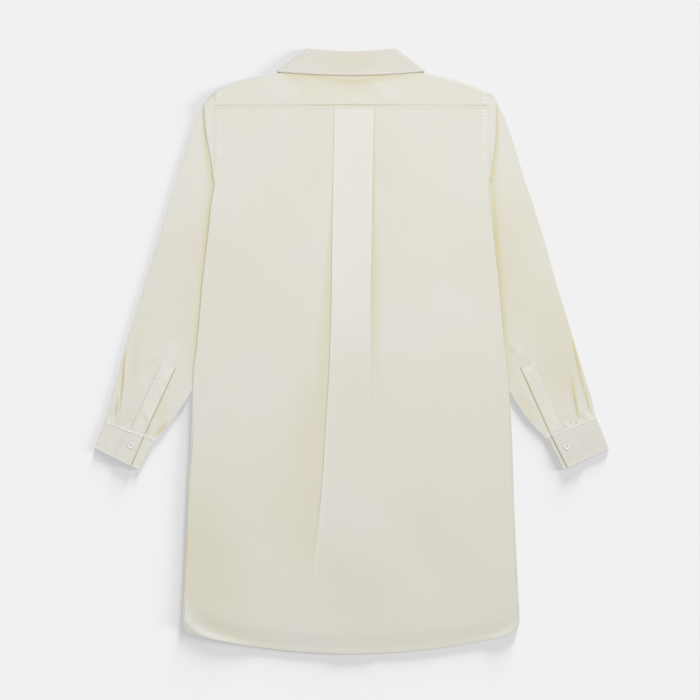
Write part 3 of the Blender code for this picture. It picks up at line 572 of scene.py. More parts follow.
def makeBack():
    rows = []
    for y in backPiece["rows"]:
        left = [(-x, z) for x, z in backHalf("left", y)]
        right = backHalf("right", y)[::-1]
        half = sideX("left", y)
        (x0, z0), (x1, z1) = left[-1], right[0]
        base0, base1 = (backLevel(x, rowY(y, x, half)) for x in (x0, x1))
        face = []
        for x in spread(x0, x1, backPiece["face"]):
            t = (x - x0) / (x1 - x0)
            face.append((x, backLevel(x, rowY(y, x, half)) + (z0 - base0) * (1.0 - t) + (z1 - base1) * t))
        rows.append([(x, rowY(y, x, half), z) for x, z in left + face + right])
    last = len(rows) - 1.0
    marks = np.concatenate([
        backPiece["topMarks"], np.linspace(1.0, last - 1.0, int((last - 1) * backPiece["steps"])),
        np.linspace(last - 1.0, last, 9)[1:],
    ])
    grid = refine(rows, marks)
    points = grid.reshape(-1, 3)
    points[:, 2] += hemBand(points, hemLine(), backPiece["hem"], backPiece["hemRise"])
    points[:, 2] += lineField(points, backCreases) + ripple(points, 3.0, 70.0, 0.3)
    points[:, 2] += backPiece["seamLift"] * (1.0 - smooth((body["yokeSeam"] - points[:, 1] - 1.0) / 6.0))
    armhole = smooth((np.abs(points[:, 0]) - 212.0) / 8.0) * smooth((points[:, 1] - 262.0) / 16.0)
    points[:, 2] += backPiece["edgeLift"] * armhole
    # painted shade from the back's list, kept off the pleat's face; then painted warm shade outside each
    # fold, and painted highlights along the folds and on the face
    tone = lineField(points, backPaintedShading).reshape(grid.shape[:2])
    face = np.zeros(grid.shape[1])
    width = (grid.shape[1] - backPiece["face"]) // 2
    face[width - cloth["arc"] - 1:grid.shape[1] - width + cloth["arc"] + 1] = 1.0
    x, y = grid[:, :, 0], grid[:, :, 1]
    onFace = face * smooth((y + 330.0) / 60.0)
    tone = tone * (1.0 - onFace)
    for side, sign in sides.items():
        gap = sign * x - read(boxPleat, side, y)
        name = side.title()
        outside = np.maximum(gap, 0.0) / read(pleatPaintedShading, "wide" + name, y)
        tone += (sign * x > 0.0) * (1.0 - face) * read(pleatPaintedShading, side, y) * np.exp(-(outside**2))
        bright = read(pleatPaintedShading, "bright" + name, y) * np.exp(-(((gap + 1.8) / 1.8) ** 2))
        pale = backPiece["foldPale"][side] * smooth((y + 270.0) / 110.0) * np.exp(-(((gap - 0.5) / 1.5) ** 2))
        tone -= (sign * x > 0.0) * (face * bright + pale)
    tone -= backPiece["facePale"] * face * smooth((y + 60.0) / 240.0)
    tone = np.clip(tone, -1.0, 1.0)
    return clothPiece("backSatin", grid, "back", (0.66, 0.88), ["front_right", "front_left"], tone=tone)


# start, middle and end of each soft fold, its width at both ends, its side, and its height
backCreases = [
    (-95.0, 150.0, -88.0, -120.0, -70.0, -400.0, 18.0, 26.0, 0, -0.5),
    (-232.0, 60.0, -150.0, 20.0, -90.0, 60.0, 16.0, 20.0, 0, 0.4),
    (20.0, -120.0, 12.0, -250.0, 0.0, -390.0, 12.0, 22.0, 0, 0.8),
    (-270.0, -415.0, -243.0, -452.0, -165.0, -474.0, 7.0, 6.0, 0, 2.4),
    (214.0, -465.0, 246.0, -454.0, 269.0, -430.0, 6.0, 7.0, 0, 1.8),
    (-262.0, -395.0, -225.0, -440.0, -150.0, -455.0, 10.0, 10.0, 0, -0.9),
]
# painted shade where folds hold back the light and the satin looks warmer, and painted highlights where
# minus, in the same columns
backPaintedShading = [
    (-52.0, -10.0, -66.0, -150.0, -84.0, -340.0, 30.0, 44.0, 0, 0.2),
    (-62.0, 390.0, -58.0, 310.0, -58.0, 210.0, 20.0, 24.0, 0, 0.07),
    (62.0, 390.0, 60.0, 310.0, 58.0, 150.0, 20.0, 24.0, 0, 0.06),
    (-230.0, -200.0, -240.0, -320.0, -160.0, -430.0, 60.0, 60.0, 0, 0.26),
    (-120.0, -160.0, -60.0, -330.0, 60.0, -440.0, 60.0, 60.0, 0, 0.12),
    (90.0, -200.0, 160.0, -330.0, 240.0, -400.0, 60.0, 60.0, 0, 0.14),
    (-235.0, -430.0, -190.0, -456.0, -120.0, -466.0, 8.0, 8.0, 0, 0.16),
    (-268.0, -408.0, -246.0, -448.0, -165.0, -474.0, 7.0, 4.0, 0, -0.5),
    (214.0, -466.0, 246.0, -455.0, 268.0, -430.0, 4.0, 5.0, 0, -0.4),
]

makeBack()

# Yoke
yokePiece = {
    "columns": (220.0, 205.0, 180.0, 155.0, 130.0, 115.0, 100.0, 88.0, 84.0, 79.0, 66.0, 50.0, 30.0, 12.0),
    "tuckUnder": 4.5, "seamDrop": 0.6, "rows": 34, "steps": 10,
}
neck = {"half": 78.0, "backY": 433.0, "rise": 27.0, "frontY": 366.0, "bend": (72.0, 392.0)}


def neckBackY(x):
    return neck["backY"] + neck["rise"] * (min(abs(x), neck["half"]) / neck["half"]) ** 2.4


def makeYoke():
    columns = [("left", -x) for x in yokePiece["columns"]]
    columns += [("right", -x) for side, x in reversed(columns)]
    grid = []
    seam = body["yokeSeam"]
    low = cloth["back"] - yokePiece["seamDrop"]
    near, far = body["pleatReach"]
    for side, x in columns:
        reach = min(abs(x), sideX(side, seam))
        top = read(shoulderEdge, side, reach, key="x")
        roll = float(smooth((reach - neck["half"] - 1.0) / 5.0))
        if reach < neck["half"] + 1.5:
            top = min(top, neckBackY(reach) - 0.5)
        edge = rolledEdge(top, cloth["back"], frontLift(x, top) + 0.15, roll)[::-1]
        lift = body["pleatBaseLift"] * float(1.0 - smooth((abs(x) - near) / (far - near)))
        over = low + 0.5 * lift
        column = [(seam - yokePiece["tuckUnder"], low), (seam - 1.0, over), (seam + 0.4, over + 0.25)]
        for y in spread(seam, edge[0][0], yokePiece["rows"]):
            fade = (edge[0][0] - y) / (edge[0][0] - seam)
            column.append((y, cloth["back"] + lift * fade - 0.15 * fade))
        grid.append([(math.copysign(reach, x), y, z) for y, z in column + edge])
    grid = refine(grid, evenMarks(len(grid), yokePiece["steps"]))
    points = grid.reshape(-1, 3)
    inside = smooth((points[:, 1] - seam - 2.0) / 10.0)
    points[:, 2] += inside * ripple(points, 8.0, 45.0, 0.3)
    points[:, 2] += backPiece["edgeLift"] * smooth((np.abs(points[:, 0]) - 212.0) / 8.0) * inside
    points[:, 2] += inside * lineField(points, yokeCreases)
    # painted shade under the collar's edge and along the yoke's seam
    tone = np.clip(lineField(points, yokePaintedShading + collarShade), -1.0, 2.0).reshape(grid.shape[:2])
    return clothPiece("yokeSatin", grid, "yoke", (0.46, 0.085), ["front_right", "front_left"], tone=tone)


# soft folds of the yoke and its painted warm shade, as in the lists for the back; the stand shares the
# painted shade under the collar
collarShade = [
    (-122.0, 446.6, -60.0, 441.0, 12.0, 439.2, 1.9, 1.9, 0, 0.25),
    (-12.0, 439.2, 60.0, 441.0, 118.0, 446.8, 1.9, 1.9, 0, 0.25),
]
yokeCreases = [
    (-150.0, 424.0, -120.0, 412.0, -100.0, 396.0, 8.0, 8.0, 0, 0.5),
    (-70.0, 428.0, -76.0, 414.0, -66.0, 398.0, 7.0, 8.0, 0, 0.4),
    (34.0, 430.0, 44.0, 414.0, 70.0, 398.0, 8.0, 9.0, 0, 0.5),
    (0.0, 428.0, -6.0, 412.0, -2.0, 396.0, 5.0, 6.0, 0, 0.35),
]
yokePaintedShading = [
    (-124.0, 446.0, -60.0, 438.0, 20.0, 432.0, 4.5, 6.0, 0, 0.42),
    (-30.0, 432.0, 50.0, 436.0, 120.0, 446.0, 6.0, 4.5, 0, 0.42),
    (-70.0, 428.0, 0.0, 424.0, 40.0, 428.0, 15.0, 13.0, 0, 0.26),
    (-112.0, 443.0, -96.0, 436.0, -70.0, 430.0, 5.0, 7.0, 0, 0.25),
    (-230.0, 393.8, 0.0, 393.8, 230.0, 393.8, 1.4, 1.4, 0, 0.40),
    (-96.0, 432.0, -70.0, 416.0, -52.0, 408.0, 18.0, 18.0, 0, 0.12),
]


makeYoke()

# Fronts, lapped under the back
frontPiece = {
    "rows": (
        -455.0, -446.0, -436.0, -420.0, -385.0, -340.0, -260.0, -180.0, -125.0, -100.0, -75.0, -50.0,
        -20.0, 15.0, 45.0, 80.0, 120.0, 177.0, 228.0, 252.0, 264.0, 272.0, 284.0, 304.0, 330.0, 355.0,
        385.0, 405.0,
    ),
    "columns": (0.0, 0.06, 0.14, 0.22, 0.3, 0.4, 0.55, 0.68, 0.77, 0.84, 0.9, 0.95, 1.0),
    "neckColumn": 6, "top": 412.0, "inset": 2.3, "shorter": 3.0, "steps": 4, "armhole": 272.0,
}


def neckFront(side, t):
    point = bend((neck["half"], neck["backY"] + neck["rise"]), neck["bend"], (0.0, neck["frontY"]), t)
    return np.array([sides[side] * point[0], point[1]])


def frontTop(side, column):
    sign = sides[side]
    first = frontPiece["neckColumn"]
    outer = sideX(side, frontPiece["top"]) - 0.3
    if column <= first:
        x = outer + column / first * (86.0 - outer)
        return np.array([sign * x, read(shoulderEdge, side, x, key="x") - frontPiece["inset"]])
    last = len(frontPiece["columns"]) - 1
    if column == last:
        return np.array([-sign * body["lap"], neck["frontY"] - 0.5])
    t = 0.12 + 0.88 * (column - first) / (last - first - 1)
    before, after = neckFront(side, t - 0.01), neckFront(side, t)
    step = unit(after - before)
    outward = np.array([step[1], -step[0]]) * sign
    return after + (outward if outward[1] <= 0.0 else -outward) * 0.6


def makeFront(side, lapLift):
    sign = sides[side]
    columns, steps = frontPiece["columns"], frontPiece["steps"]
    gap, lap, reach = cloth["gap"], body["lap"], body["lapReach"]
    topRow = [frontTop(side, k) for k in range(len(columns))]
    topSide = topRow[0][1]
    rows = []
    for sideY in frontPiece["rows"] + (topSide,):
        half = sideX(side, sideY)
        inset = gap + (frontPiece["inset"] - gap) * smooth((frontPiece["armhole"] - sideY) / 8.0)
        if sideY >= frontPiece["armhole"]:
            inset = gap * smooth((sideY - 400.0) / 12.0)
        edge = half - inset
        rise = smooth((sideY - 300.0) / (topSide - 300.0))
        turn = smooth((sideY - 60.0) / (topSide - 60.0))
        short = frontPiece["shorter"] * smooth((-340.0 - sideY) / 115.0)
        row = []
        for target, share in zip(topRow, columns):
            topHalf = sideX(side, target[1])
            topShare = (topHalf - gap - sign * target[0]) / (topHalf - gap + lap)
            part = share + (topShare - share) * turn
            x = sign * (edge - part * (edge + lap))
            y = rowY(sideY, x, half) + short + rise * (target[1] - topSide)
            lift = frontLift(x, y) + lapLift * smooth((reach + lap - sign * x) / reach)
            row.append((x, y, lift + cloth["wall"] / 2))
        rows.append(row)
    grid = refine(rows, evenMarks(len(rows), steps)).transpose(1, 0, 2)
    grid = refine(grid, evenMarks(len(columns), steps)).transpose(1, 0, 2)
    return clothPiece("frontSatin" + side.title(), grid, "front_" + side, (0.29, 0.94), ["floor"])


makeFront("right", 0.0)
makeFront("left", body["lapLift"])

# Sleeves, from the shoulder to the wrist
sleeveRows = table(
    "outerY left right innerY innerLeft innerRight creaseLeft creaseRight tuck",
    (409.8, 227.4, 226.2, 412.0, 220.3, 219.8, 222.1, 221.6, -3.5),
    (405.0, 231.0, 229.0, 404.0, 220.3, 219.8, 226.0, 224.6, -3.5),
    (398.0, 235.6, 232.4, 396.0, 220.3, 219.8, 235.2, 231.0, 1.0),
    (391.0, 239.4, 236.0, 388.0, 220.3, 219.8, 237.8, 231.0, 1.6),
    (382.0, 243.8, 240.4, 377.0, 220.3, 219.8, 237.4, 231.0, 5.0),
    (369.0, 249.6, 246.4, 363.0, 220.3, 219.8, 236.4, 230.8, 7.0),
    (353.0, 256.0, 251.8, 346.0, 220.3, 219.8, 234.3, 230.4, 8.0),
    (337.0, 261.0, 257.6, 328.0, 220.3, 219.8, 231.0, 229.2, 6.0),
    (320.0, 266.8, 262.8, 309.0, 220.3, 219.8, 227.3, 226.6, 3.0),
    (305.0, 272.0, 267.4, 292.0, 220.3, 219.8, 224.6, 224.0, 1.0),
    (290.0, 276.6, 271.8, 279.0, 220.3, 219.8, 223.6, 223.1, -3.5),
    (280.0, 279.6, 275.0, 268.0, 220.3, 219.8, 0.0, 0.0, 0.0),
    (265.0, 284.0, 280.0, 251.0, 214.0, 212.0, 0.0, 0.0, 0.0),
    (245.0, 290.0, 286.8, 222.0, 200.0, 198.0, 0.0, 0.0, 0.0),
    (185.0, 308.0, 306.0, 148.0, 182.4, 180.0, 0.0, 0.0, 0.0),
    (111.0, 330.4, 327.0, 81.0, 182.4, 180.0, 0.0, 0.0, 0.0),
    (57.0, 348.0, 343.5, 20.0, 201.6, 199.0, 0.0, 0.0, 0.0),
    (6.0, 363.4, 358.8, -34.0, 243.2, 240.0, 0.0, 0.0, 0.0),
    (-39.0, 375.6, 372.4, -84.0, 273.6, 268.6, 0.0, 0.0, 0.0),
    (-80.0, 387.4, 385.0, -116.0, 297.0, 291.6, 0.0, 0.0, 0.0),
)
cuffShape = {
    "left": {
        "outer": ((396.0, -111.8), (412.4, -156.2)), "inner": ((314.4, -140.6), (341.9, -191.4)),
        "lap": (0.78, 0.825), "button": (354.0, -151.6),
    },
    "right": {
        "outer": ((390.4, -104.8), (411.9, -157.6)), "inner": ((312.0, -137.0), (338.4, -191.0)),
        "lap": (0.92, 0.91), "button": (344.4, -153.4),
    },
    "levels": {"under": 0.6, "underlap": 2.1, "overlap": 3.6},
    "wall": 1.2, "thick": 0.6, "reach": 24.0, "slope": 12.0, "rows": 56,
}
# the cuff between its rows of stitching: how high it swells, how deep the rows sink, its grain, and its
# painted shade and highlights
cuffSewn = {
    "wristSwell": (0.4, 0.2), "handSwell": (0.12, 0.1), "row": 0.8, "grain": 1.2, "grainSize": (4.0, 9.0),
    "rowTone": 0.7, "wristTone": 0.5, "wristPale": (0.45, 1.4), "handTone": 0.25, "allPale": 0.12,
}
placket = {"width": 24.0, "length": 118.0, "thick": 0.5, "lift": 0.8, "into": 5.0, "rows": 60, "columns": 19}
sleevePiece = {
    "top": 92, "under": 16, "steps": 11, "endLevels": (1.55, 1.12), "shrink": 1.2, "intoCuff": (-0.45, 4.0),
    "lead": ((-4.0, -0.25), (-1.2, -0.2), (0.2, -0.08), (1.4, 0.0)), "leadFlat": 3, "leadStep": 0.55,
    "tuckRows": (2, 9), "tuckTone": 1.2, "edgeFade": 12.0, "cuffFade": 14.0,
}
# small gathers that the cuff draws into the sleeve's end, painted darker in their hollows and paler on their
# ridges, and the sleeve painted paler just by the cuff
gathers = {
    "apart": 4.5, "long": 22.0, "reach": 9.0, "high": 1.8, "shade": 1.6, "pale": 0.25, "paleReach": 8.0,
}

# soft folds of each sleeve and its painted shade, minus for painted highlights, as in the lists for the back,
# x outwards from the middle
sleeveCreases = {
    "left": [
        (363.0, 10.0, 366.0, -40.0, 372.0, -98.0, 4.0, 4.5, 1, 1.9),
        (375.0, -70.0, 376.5, -90.0, 378.5, -106.0, 2.4, 3.0, 1, 1.3),
        (340.0, 30.0, 342.0, -30.0, 346.0, -90.0, 9.0, 9.0, 0, 0.8),
        (262.0, 26.0, 300.0, -4.0, 330.0, -8.0, 7.0, 7.0, 0, 0.7),
        (268.0, -8.0, 292.0, -20.0, 316.0, -18.0, 5.0, 6.0, 0, 0.5),
        (246.0, 100.0, 262.0, 40.0, 280.0, -10.0, 9.0, 8.0, 0, 0.6),
        (318.0, -130.0, 326.0, -112.0, 330.0, -90.0, 4.0, 6.0, 0, 0.9),
        (296.0, -86.0, 304.0, -70.0, 306.0, -40.0, 5.0, 6.0, 0, 0.5),
    ],
    "right": [
        (350.0, 30.0, 362.0, -28.0, 381.0, -96.0, 4.0, 4.0, 1, 1.7),
        (349.0, -40.0, 357.0, -80.0, 363.0, -116.0, 3.5, 4.5, 1, 1.9),
        (373.5, -58.0, 377.0, -78.0, 380.5, -98.0, 2.0, 2.4, 1, 1.2),
        (330.0, 60.0, 338.0, 0.0, 346.0, -60.0, 9.0, 8.0, 0, 0.7),
        (246.0, 12.0, 262.0, 4.0, 290.0, -22.0, 6.0, 6.0, 0, 0.8),
        (250.0, -12.0, 266.0, -8.0, 282.0, -4.0, 4.0, 5.0, 0, 0.6),
        (262.0, -54.0, 284.0, -78.0, 300.0, -112.0, 6.0, 6.0, 0, 0.6),
        (318.0, 40.0, 312.0, -20.0, 318.0, -70.0, 12.0, 12.0, 0, -0.5),
    ],
}
sleevePaintedShading = {
    "left": [
        (236.5, 398.0, 234.0, 340.0, 222.0, 270.0, 1.6, 7.0, -1, 0.8),
        (219.0, 310.0, 230.0, 180.0, 246.0, 10.0, 8.0, 7.0, -1, 0.7),
        (236.0, 90.0, 247.0, 10.0, 253.0, -50.0, 6.0, 10.0, 0, 0.4),
        (222.0, 262.0, 236.0, 140.0, 262.0, 20.0, 22.0, 26.0, 0, 0.14),
        (296.0, -20.0, 284.0, 4.0, 296.0, 18.0, 12.0, 10.0, 0, -0.35),
        (318.0, -137.0, 306.0, -127.0, 295.0, -112.0, 3.2, 2.4, 0, 0.75),
        (250.0, 120.0, 290.0, 0.0, 320.0, -100.0, 40.0, 30.0, 0, 0.06),
        (362.0, 20.0, 365.0, -40.0, 371.0, -98.0, 3.0, 2.6, -1, 1.25),
        (374.0, -76.0, 375.5, -92.0, 377.5, -106.0, 2.2, 2.2, -1, 1.1),
        (330.0, 60.0, 340.0, 0.0, 350.0, -50.0, 16.0, 14.0, 0, 0.14),
        (300.0, -132.0, 306.0, -112.0, 296.0, -60.0, 8.0, 8.0, 0, 0.18),
        (322.0, -112.0, 345.0, -112.0, 366.0, -102.0, 4.0, 4.0, 0, 0.25),
    ],
    "right": [
        (230.5, 398.0, 230.0, 340.0, 222.0, 270.0, 1.8, 7.0, -1, 0.8),
        (219.0, 310.0, 228.0, 180.0, 243.0, 10.0, 8.5, 8.0, -1, 0.7),
        (234.0, 90.0, 245.0, 10.0, 252.0, -50.0, 7.0, 11.0, 0, 0.42),
        (255.0, 6.0, 256.0, 0.0, 258.0, -8.0, 3.5, 3.5, 0, 0.4),
        (222.0, 262.0, 236.0, 140.0, 262.0, 20.0, 22.0, 26.0, 0, 0.16),
        (349.0, 34.0, 361.0, -28.0, 380.0, -98.0, 4.5, 2.8, -1, 1.2),
        (348.0, -36.0, 356.0, -80.0, 362.0, -118.0, 4.0, 2.8, -1, 1.3),
        (372.5, -58.0, 376.0, -78.0, 379.5, -98.0, 2.0, 2.2, -1, 0.9),
        (340.0, 80.0, 334.0, -10.0, 345.0, -100.0, 30.0, 24.0, 0, 0.2),
        (250.0, 300.0, 275.0, 150.0, 310.0, 0.0, 40.0, 40.0, 0, 0.16),
        (262.0, -60.0, 280.0, -92.0, 296.0, -120.0, 9.0, 8.0, 0, 0.22),
        (306.0, -118.0, 330.0, -116.0, 352.0, -106.0, 4.0, 4.0, 0, 0.3),
    ],
}


def cuffCorners(side):
    # the cuff's outer edge and its inner one, each from the wrist to the hand
    return (np.array(cuffShape[side][edge]) for edge in ("outer", "inner"))


def cuffLap(side):
    # both ends of the lap's edge, at the wrist and at the hand
    outer, inner = cuffCorners(side)
    return outer + (inner - outer) * np.array(cuffShape[side]["lap"])[:, None]


def handWay(side):
    outer, inner = cuffCorners(side)
    return unit((outer[1] + inner[1]) - (outer[0] + inner[0]))


def foldCount():
    # places across the sleeve's fold at the armhole, with those that lead up to it
    return 2 * (cloth["arc"] + 1) + len(sleevePiece["lead"]) + sleevePiece["leadFlat"]


def sleeveSection(width, crease, tuck):
    # over the top, round the outer fold and back below
    top, low = cloth["sleeve"], cloth["under"]
    lead = sleevePiece["lead"]
    if crease > 0.0:
        high = cloth["back"]
        fold = foldPath(crease, high, top, tuck)
        points = [(s, high + z) for s, z in lead]
        points += [(s, high) for s in spread(lead[-1][0], fold[0][0], sleevePiece["leadFlat"])] + fold
    else:
        points = [(lead[0][0] + sleevePiece["leadStep"] * i, top) for i in range(foldCount())]
    radius = (top - low) / 2.0
    axis = width - cloth["wall"] / 2 - radius
    points += [(s, top) for s in spread(points[-1][0], axis, sleevePiece["top"])]
    for i in range(cloth["arc"] + 1):
        angle = math.pi * i / cloth["arc"]
        points.append((axis + radius * math.sin(angle), low + radius * (1.0 + math.cos(angle))))
    return points + [(s, low) for s in spread(axis, 0.0, sleevePiece["under"])] + [(0.0, low)]


def drawIn(row, fade):
    # the sleeve's end is flatter and narrower, to fit inside its cuff
    high, low = sleevePiece["endLevels"]
    part = (row[:, 2] - cloth["under"]) / (cloth["sleeve"] - cloth["under"])
    row[:, 2] = row[:, 2] * (1.0 - fade) + (low + (high - low) * part) * fade
    middle = row[:, :2].mean(axis=0)
    reach = np.linalg.norm(row[:, :2] - middle, axis=1, keepdims=True)
    row[:, :2] -= unit(row[:, :2] - middle) * (sleevePiece["shrink"] * fade) * (reach / reach.max()) ** 4


def sleeveGrid(side):
    # sections from the shoulder to just inside the cuff
    sign, name = sides[side], side.title()
    stations = []
    for i in range(len(sleeveRows["tuck"])):
        row = {key: float(column[i]) for key, column in sleeveRows.items()}
        outer, inner = (row[side], row["outerY"]), (row["inner" + name], row["innerY"])
        crease = max(row["crease" + name] - inner[0], 0.0)
        stations.append((np.array(outer), np.array(inner), crease, row["tuck"]))
    for step in sleevePiece["intoCuff"]:
        outer, inner = (corners[0] + handWay(side) * step for corners in cuffCorners(side))
        stations.append((outer, inner, 0.0, 0.0))
    rows = []
    for outer, inner, crease, tuck in stations:
        width = float(np.linalg.norm(outer - inner))
        step = (outer - inner) / width
        section = sleeveSection(width, crease * width / abs(outer[0] - inner[0]), tuck)
        rows.append([(sign * (inner + step * s)[0], (inner + step * s)[1], z) for s, z in section])
    rows = np.array(rows)
    drawIn(rows[-2], 0.5)
    drawIn(rows[-1], 1.0)
    return refine(rows, evenMarks(len(rows), sleevePiece["steps"]))


def makeSleeve(side):
    sign, name = sides[side], side.title()
    grid = sleeveGrid(side)
    topCount, steps = foldCount() + sleevePiece["top"], sleevePiece["steps"]
    top = grid[:, :topCount].reshape(-1, 3)
    flip = top * np.array([sign, 1.0, 1.0])
    into, corner, start = handWay(side), next(cuffCorners(side))[0], cuffLap(side)[0]
    end = start - into * placket["length"]
    slit = (*(start + into * 8.0), *((start + end) / 2), *end, 2.2, 1.6, -1)
    wrist = (corner - flip[:, :2]) @ into
    fromCuff = np.maximum(wrist, 0.0)
    across = (flip[:, :2] - corner) @ np.array([-into[1], into[0]])
    edgeX = np.repeat(np.abs(grid[:, topCount, 0]), topCount)
    inside = smooth((edgeX - np.abs(top[:, 0])) / sleevePiece["edgeFade"])
    places = [Vector((a / gathers["apart"], w / gathers["long"], sign)) for a, w in zip(across, wrist)]
    gather = np.array([noise.noise(place) for place in places])
    gather *= np.exp(-((fromCuff / gathers["reach"]) ** 2)) * (wrist > -2.0)
    lift = lineField(flip, sleeveCreases[side] + [slit + (-0.45,)]) + ripple(top, 5.0 + sign, 38.0, 0.3)
    settled = smooth(fromCuff / sleevePiece["cuffFade"])
    for rise in (lift * inside * settled, gathers["high"] * gather * inside):
        grid[:, :topCount, 2] += rise.reshape(len(grid), topCount)
    # painted paler by the cuff and on the gathers' ridges, painted shade in their hollows and along the slit
    drawn = -gathers["pale"] * np.exp(-((fromCuff / gathers["paleReach"]) ** 2)) - gathers["shade"] * gather
    shade = np.clip(lineField(flip, sleevePaintedShading[side] + [slit + (0.5,)]) + drawn, -1.0, 2.0)
    tone = np.zeros(grid.shape[:2])
    tone[:, :topCount] = shade.reshape(len(grid), topCount)
    # the cloth tucked beneath the fold at the armhole lies in shade
    first, last = sleevePiece["tuckRows"]
    lead = len(sleevePiece["lead"]) + 2 * sleevePiece["leadFlat"]
    tone[first * steps:last * steps, lead:foldCount() + 1] = sleevePiece["tuckTone"]
    return clothPiece("sleeveSatin" + name, grid, "sleeve_" + side, (0.36, 0.6), ["floor"], tone=tone)


for side in sides:
    makeSleeve(side)


def cuffSection(width, lap):
    # from the lap's edge over the top, round the outer fold, back below and round onto the under lap
    low, middle, high = (cuffShape["levels"][key] for key in ("under", "underlap", "overlap"))
    arc, half, slope = cloth["arc"], cuffShape["wall"] / 2, cuffShape["slope"]
    radius = (middle - low) / 2.0
    near, far, end = radius + half, width - radius - half, lap - cuffShape["reach"]
    turn = [math.pi * i / arc for i in range(arc + 1)]
    section = [(s, high) for s in [lap] + spread(lap, end, 9) + [end]]
    for share in (0.17, 0.33, 0.5, 0.67, 0.83, 1.0):
        section.append((end - slope * share, high + (middle - high) * float(smooth(share))))
    section += [(s, middle) for s in spread(end - slope, near, 12)]
    section += [(near - radius * math.sin(a), low + radius * (1.0 + math.cos(a))) for a in turn]
    section += [(s, low) for s in spread(near, far, 10)]
    section += [(far + radius * math.sin(a), low + radius * (1.0 - math.cos(a))) for a in turn]
    return section + [(s, middle) for s in spread(far, end + 2.0, 8)] + [(end + 2.0, middle)]


def makeCuff(side):
    sign, levels, row = sides[side], cuffShape["levels"], stitching["cuff"]
    outer, inner = cuffCorners(side)
    ends = []
    for start, end, share in zip(outer, inner, cuffShape[side]["lap"]):
        width = float(np.linalg.norm(start - end))
        step = (end - start) / width
        section = cuffSection(width, min(width * share, width - 2.0))
        ends.append([(sign * (start + step * s)[0], (start + step * s)[1], z) for s, z in section])
    marks = np.linspace(0.0, 1.0, cuffShape["rows"] + 1)
    grid = refine(np.array(ends), marks)
    upper = (grid[:, :, 2] > levels["underlap"] - 0.3).astype(float)
    long = float(np.linalg.norm(outer[1] - outer[0]))
    down, up = marks * long, long - marks * long
    grainX, grainY = cuffSewn["grainSize"]
    places = [Vector((x / grainX, y / grainY, 4.0 + sign)) for x, y, z in grid.reshape(-1, 3)]
    grain = np.array([noise.noise(place) for place in places]).reshape(upper.shape)
    swell = np.zeros(len(marks))
    for away, (high, groove) in ((down, cuffSewn["wristSwell"]), (up, cuffSewn["handSwell"])):
        sunk = groove * np.exp(-(((away - row) / cuffSewn["row"]) ** 2))
        swell += high * np.sin(np.pi * np.clip(away / row, 0.0, 1.0)) - sunk
    tops = smooth(1.0 - (down - row + 0.5) / 1.5)[:, None]
    grid[:, :, 2] += (swell[:, None] + cuffSewn["grain"] * grain * tops) * upper
    points = grid.reshape(-1, 3)
    points[:, 2] += upper.reshape(-1) * ripple(points, 2.0 + sign, 14.0, 0.3)
    # painted shade below the lap's edge and at the rows, painted highlights on the swell and its grain, and
    # the cuff painted a little paler all over
    laps = cuffLap(side)
    lapLine = (*laps[0], *((laps[0] + laps[1]) / 2), *laps[1], 2.2, 2.0, 1, 0.4)
    below = grid[:, :, 2] < levels["overlap"] - 0.6
    tone = lineField(points * np.array([sign, 1.0, 1.0]), [lapLine]).reshape(upper.shape) * below
    atRow, atHand = (np.exp(-(((away - row) / cuffSewn["rowTone"]) ** 2)) for away in (down, up))
    pale, palest = cuffSewn["wristPale"]
    tone = tone + (cuffSewn["wristTone"] * atRow)[:, None] - tops * (pale + palest * grain)
    edge = cuffSewn["handTone"] * atHand - cuffSewn["handTone"] * smooth(1.0 - (up - row + 1.0) / 1.5)
    tone += (edge - cuffSewn["allPale"])[:, None]
    tone = np.clip(tone * upper, -1.0, 2.0)
    # the right cuff takes the darker copy, as painted shade
    finish = collarSatin if side == "right" else None
    return clothPiece("cuffSatin" + side.title(), grid, "cuff_" + side, (0.21, 0.057), ["floor"],
                      cuffShape["thick"], tone, finish)


for side in sides:
    makeCuff(side)


def makePlacket(side):
    sign = sides[side]
    outer, inner = (corners[0] for corners in cuffCorners(side))
    start, up = cuffLap(side)[0], -handWay(side)
    across = unit(outer - inner)
    across = unit(across - up * float(across @ up))
    rows, columns = placket["rows"], placket["columns"]
    grid = []
    for distance in np.linspace(-placket["into"], placket["length"], rows):
        row = []
        for share in np.linspace(0.0, 1.0, columns):
            p = start + up * distance + across * share * placket["width"]
            edge = 0.3 * float(smooth((share - 0.82) / 0.18)) + 0.25 * float(smooth((0.14 - share) / 0.14))
            tip = 0.25 * float(smooth((distance - placket["length"] + 6.0) / 6.0))
            sink = 0.3 * float(smooth((4.0 - distance) / 8.0))
            row.append((sign * p[0], p[1], cloth["sleeve"] + placket["lift"] - edge - tip - sink))
        grid.append(row)
    grid = np.array(grid)
    points = grid.reshape(-1, 3)
    flip = points * np.array([sign, 1.0, 1.0])
    creases = [crease for crease in sleeveCreases[side] if crease[8] == 0]
    lift = lineField(flip, creases) + ripple(points, 5.0 + sign, 38.0, 0.3)
    points[:, 2] += np.maximum(lift, -0.1) + 0.1 * ripple(points, 9.0, 9.0, 1.0)
    # the placket painted paler, more at its top end and on top of its bumps, as painted highlights
    top = np.linspace(0.0, 1.0, rows)[:, None]
    bumps = np.array([noise.noise(Vector(point) / 5.0) for point in points]).reshape(rows, columns)
    tone = -0.12 - 0.3 * smooth((top - 0.8) / 0.15) - 0.5 * np.maximum(bumps, 0.0)
    inside = np.abs(np.tile(np.linspace(-1.0, 1.0, columns), rows)) < 0.9
    points[:, 2] += 0.35 * bumps.reshape(-1) * inside
    return clothPiece("placketSatin" + side.title(), grid, "sleeve_placket_" + side, (0.024, 0.123),
                      ["sleeveSatin" + side.title()], placket["thick"], tone)


for side in sides:
    makePlacket(side)

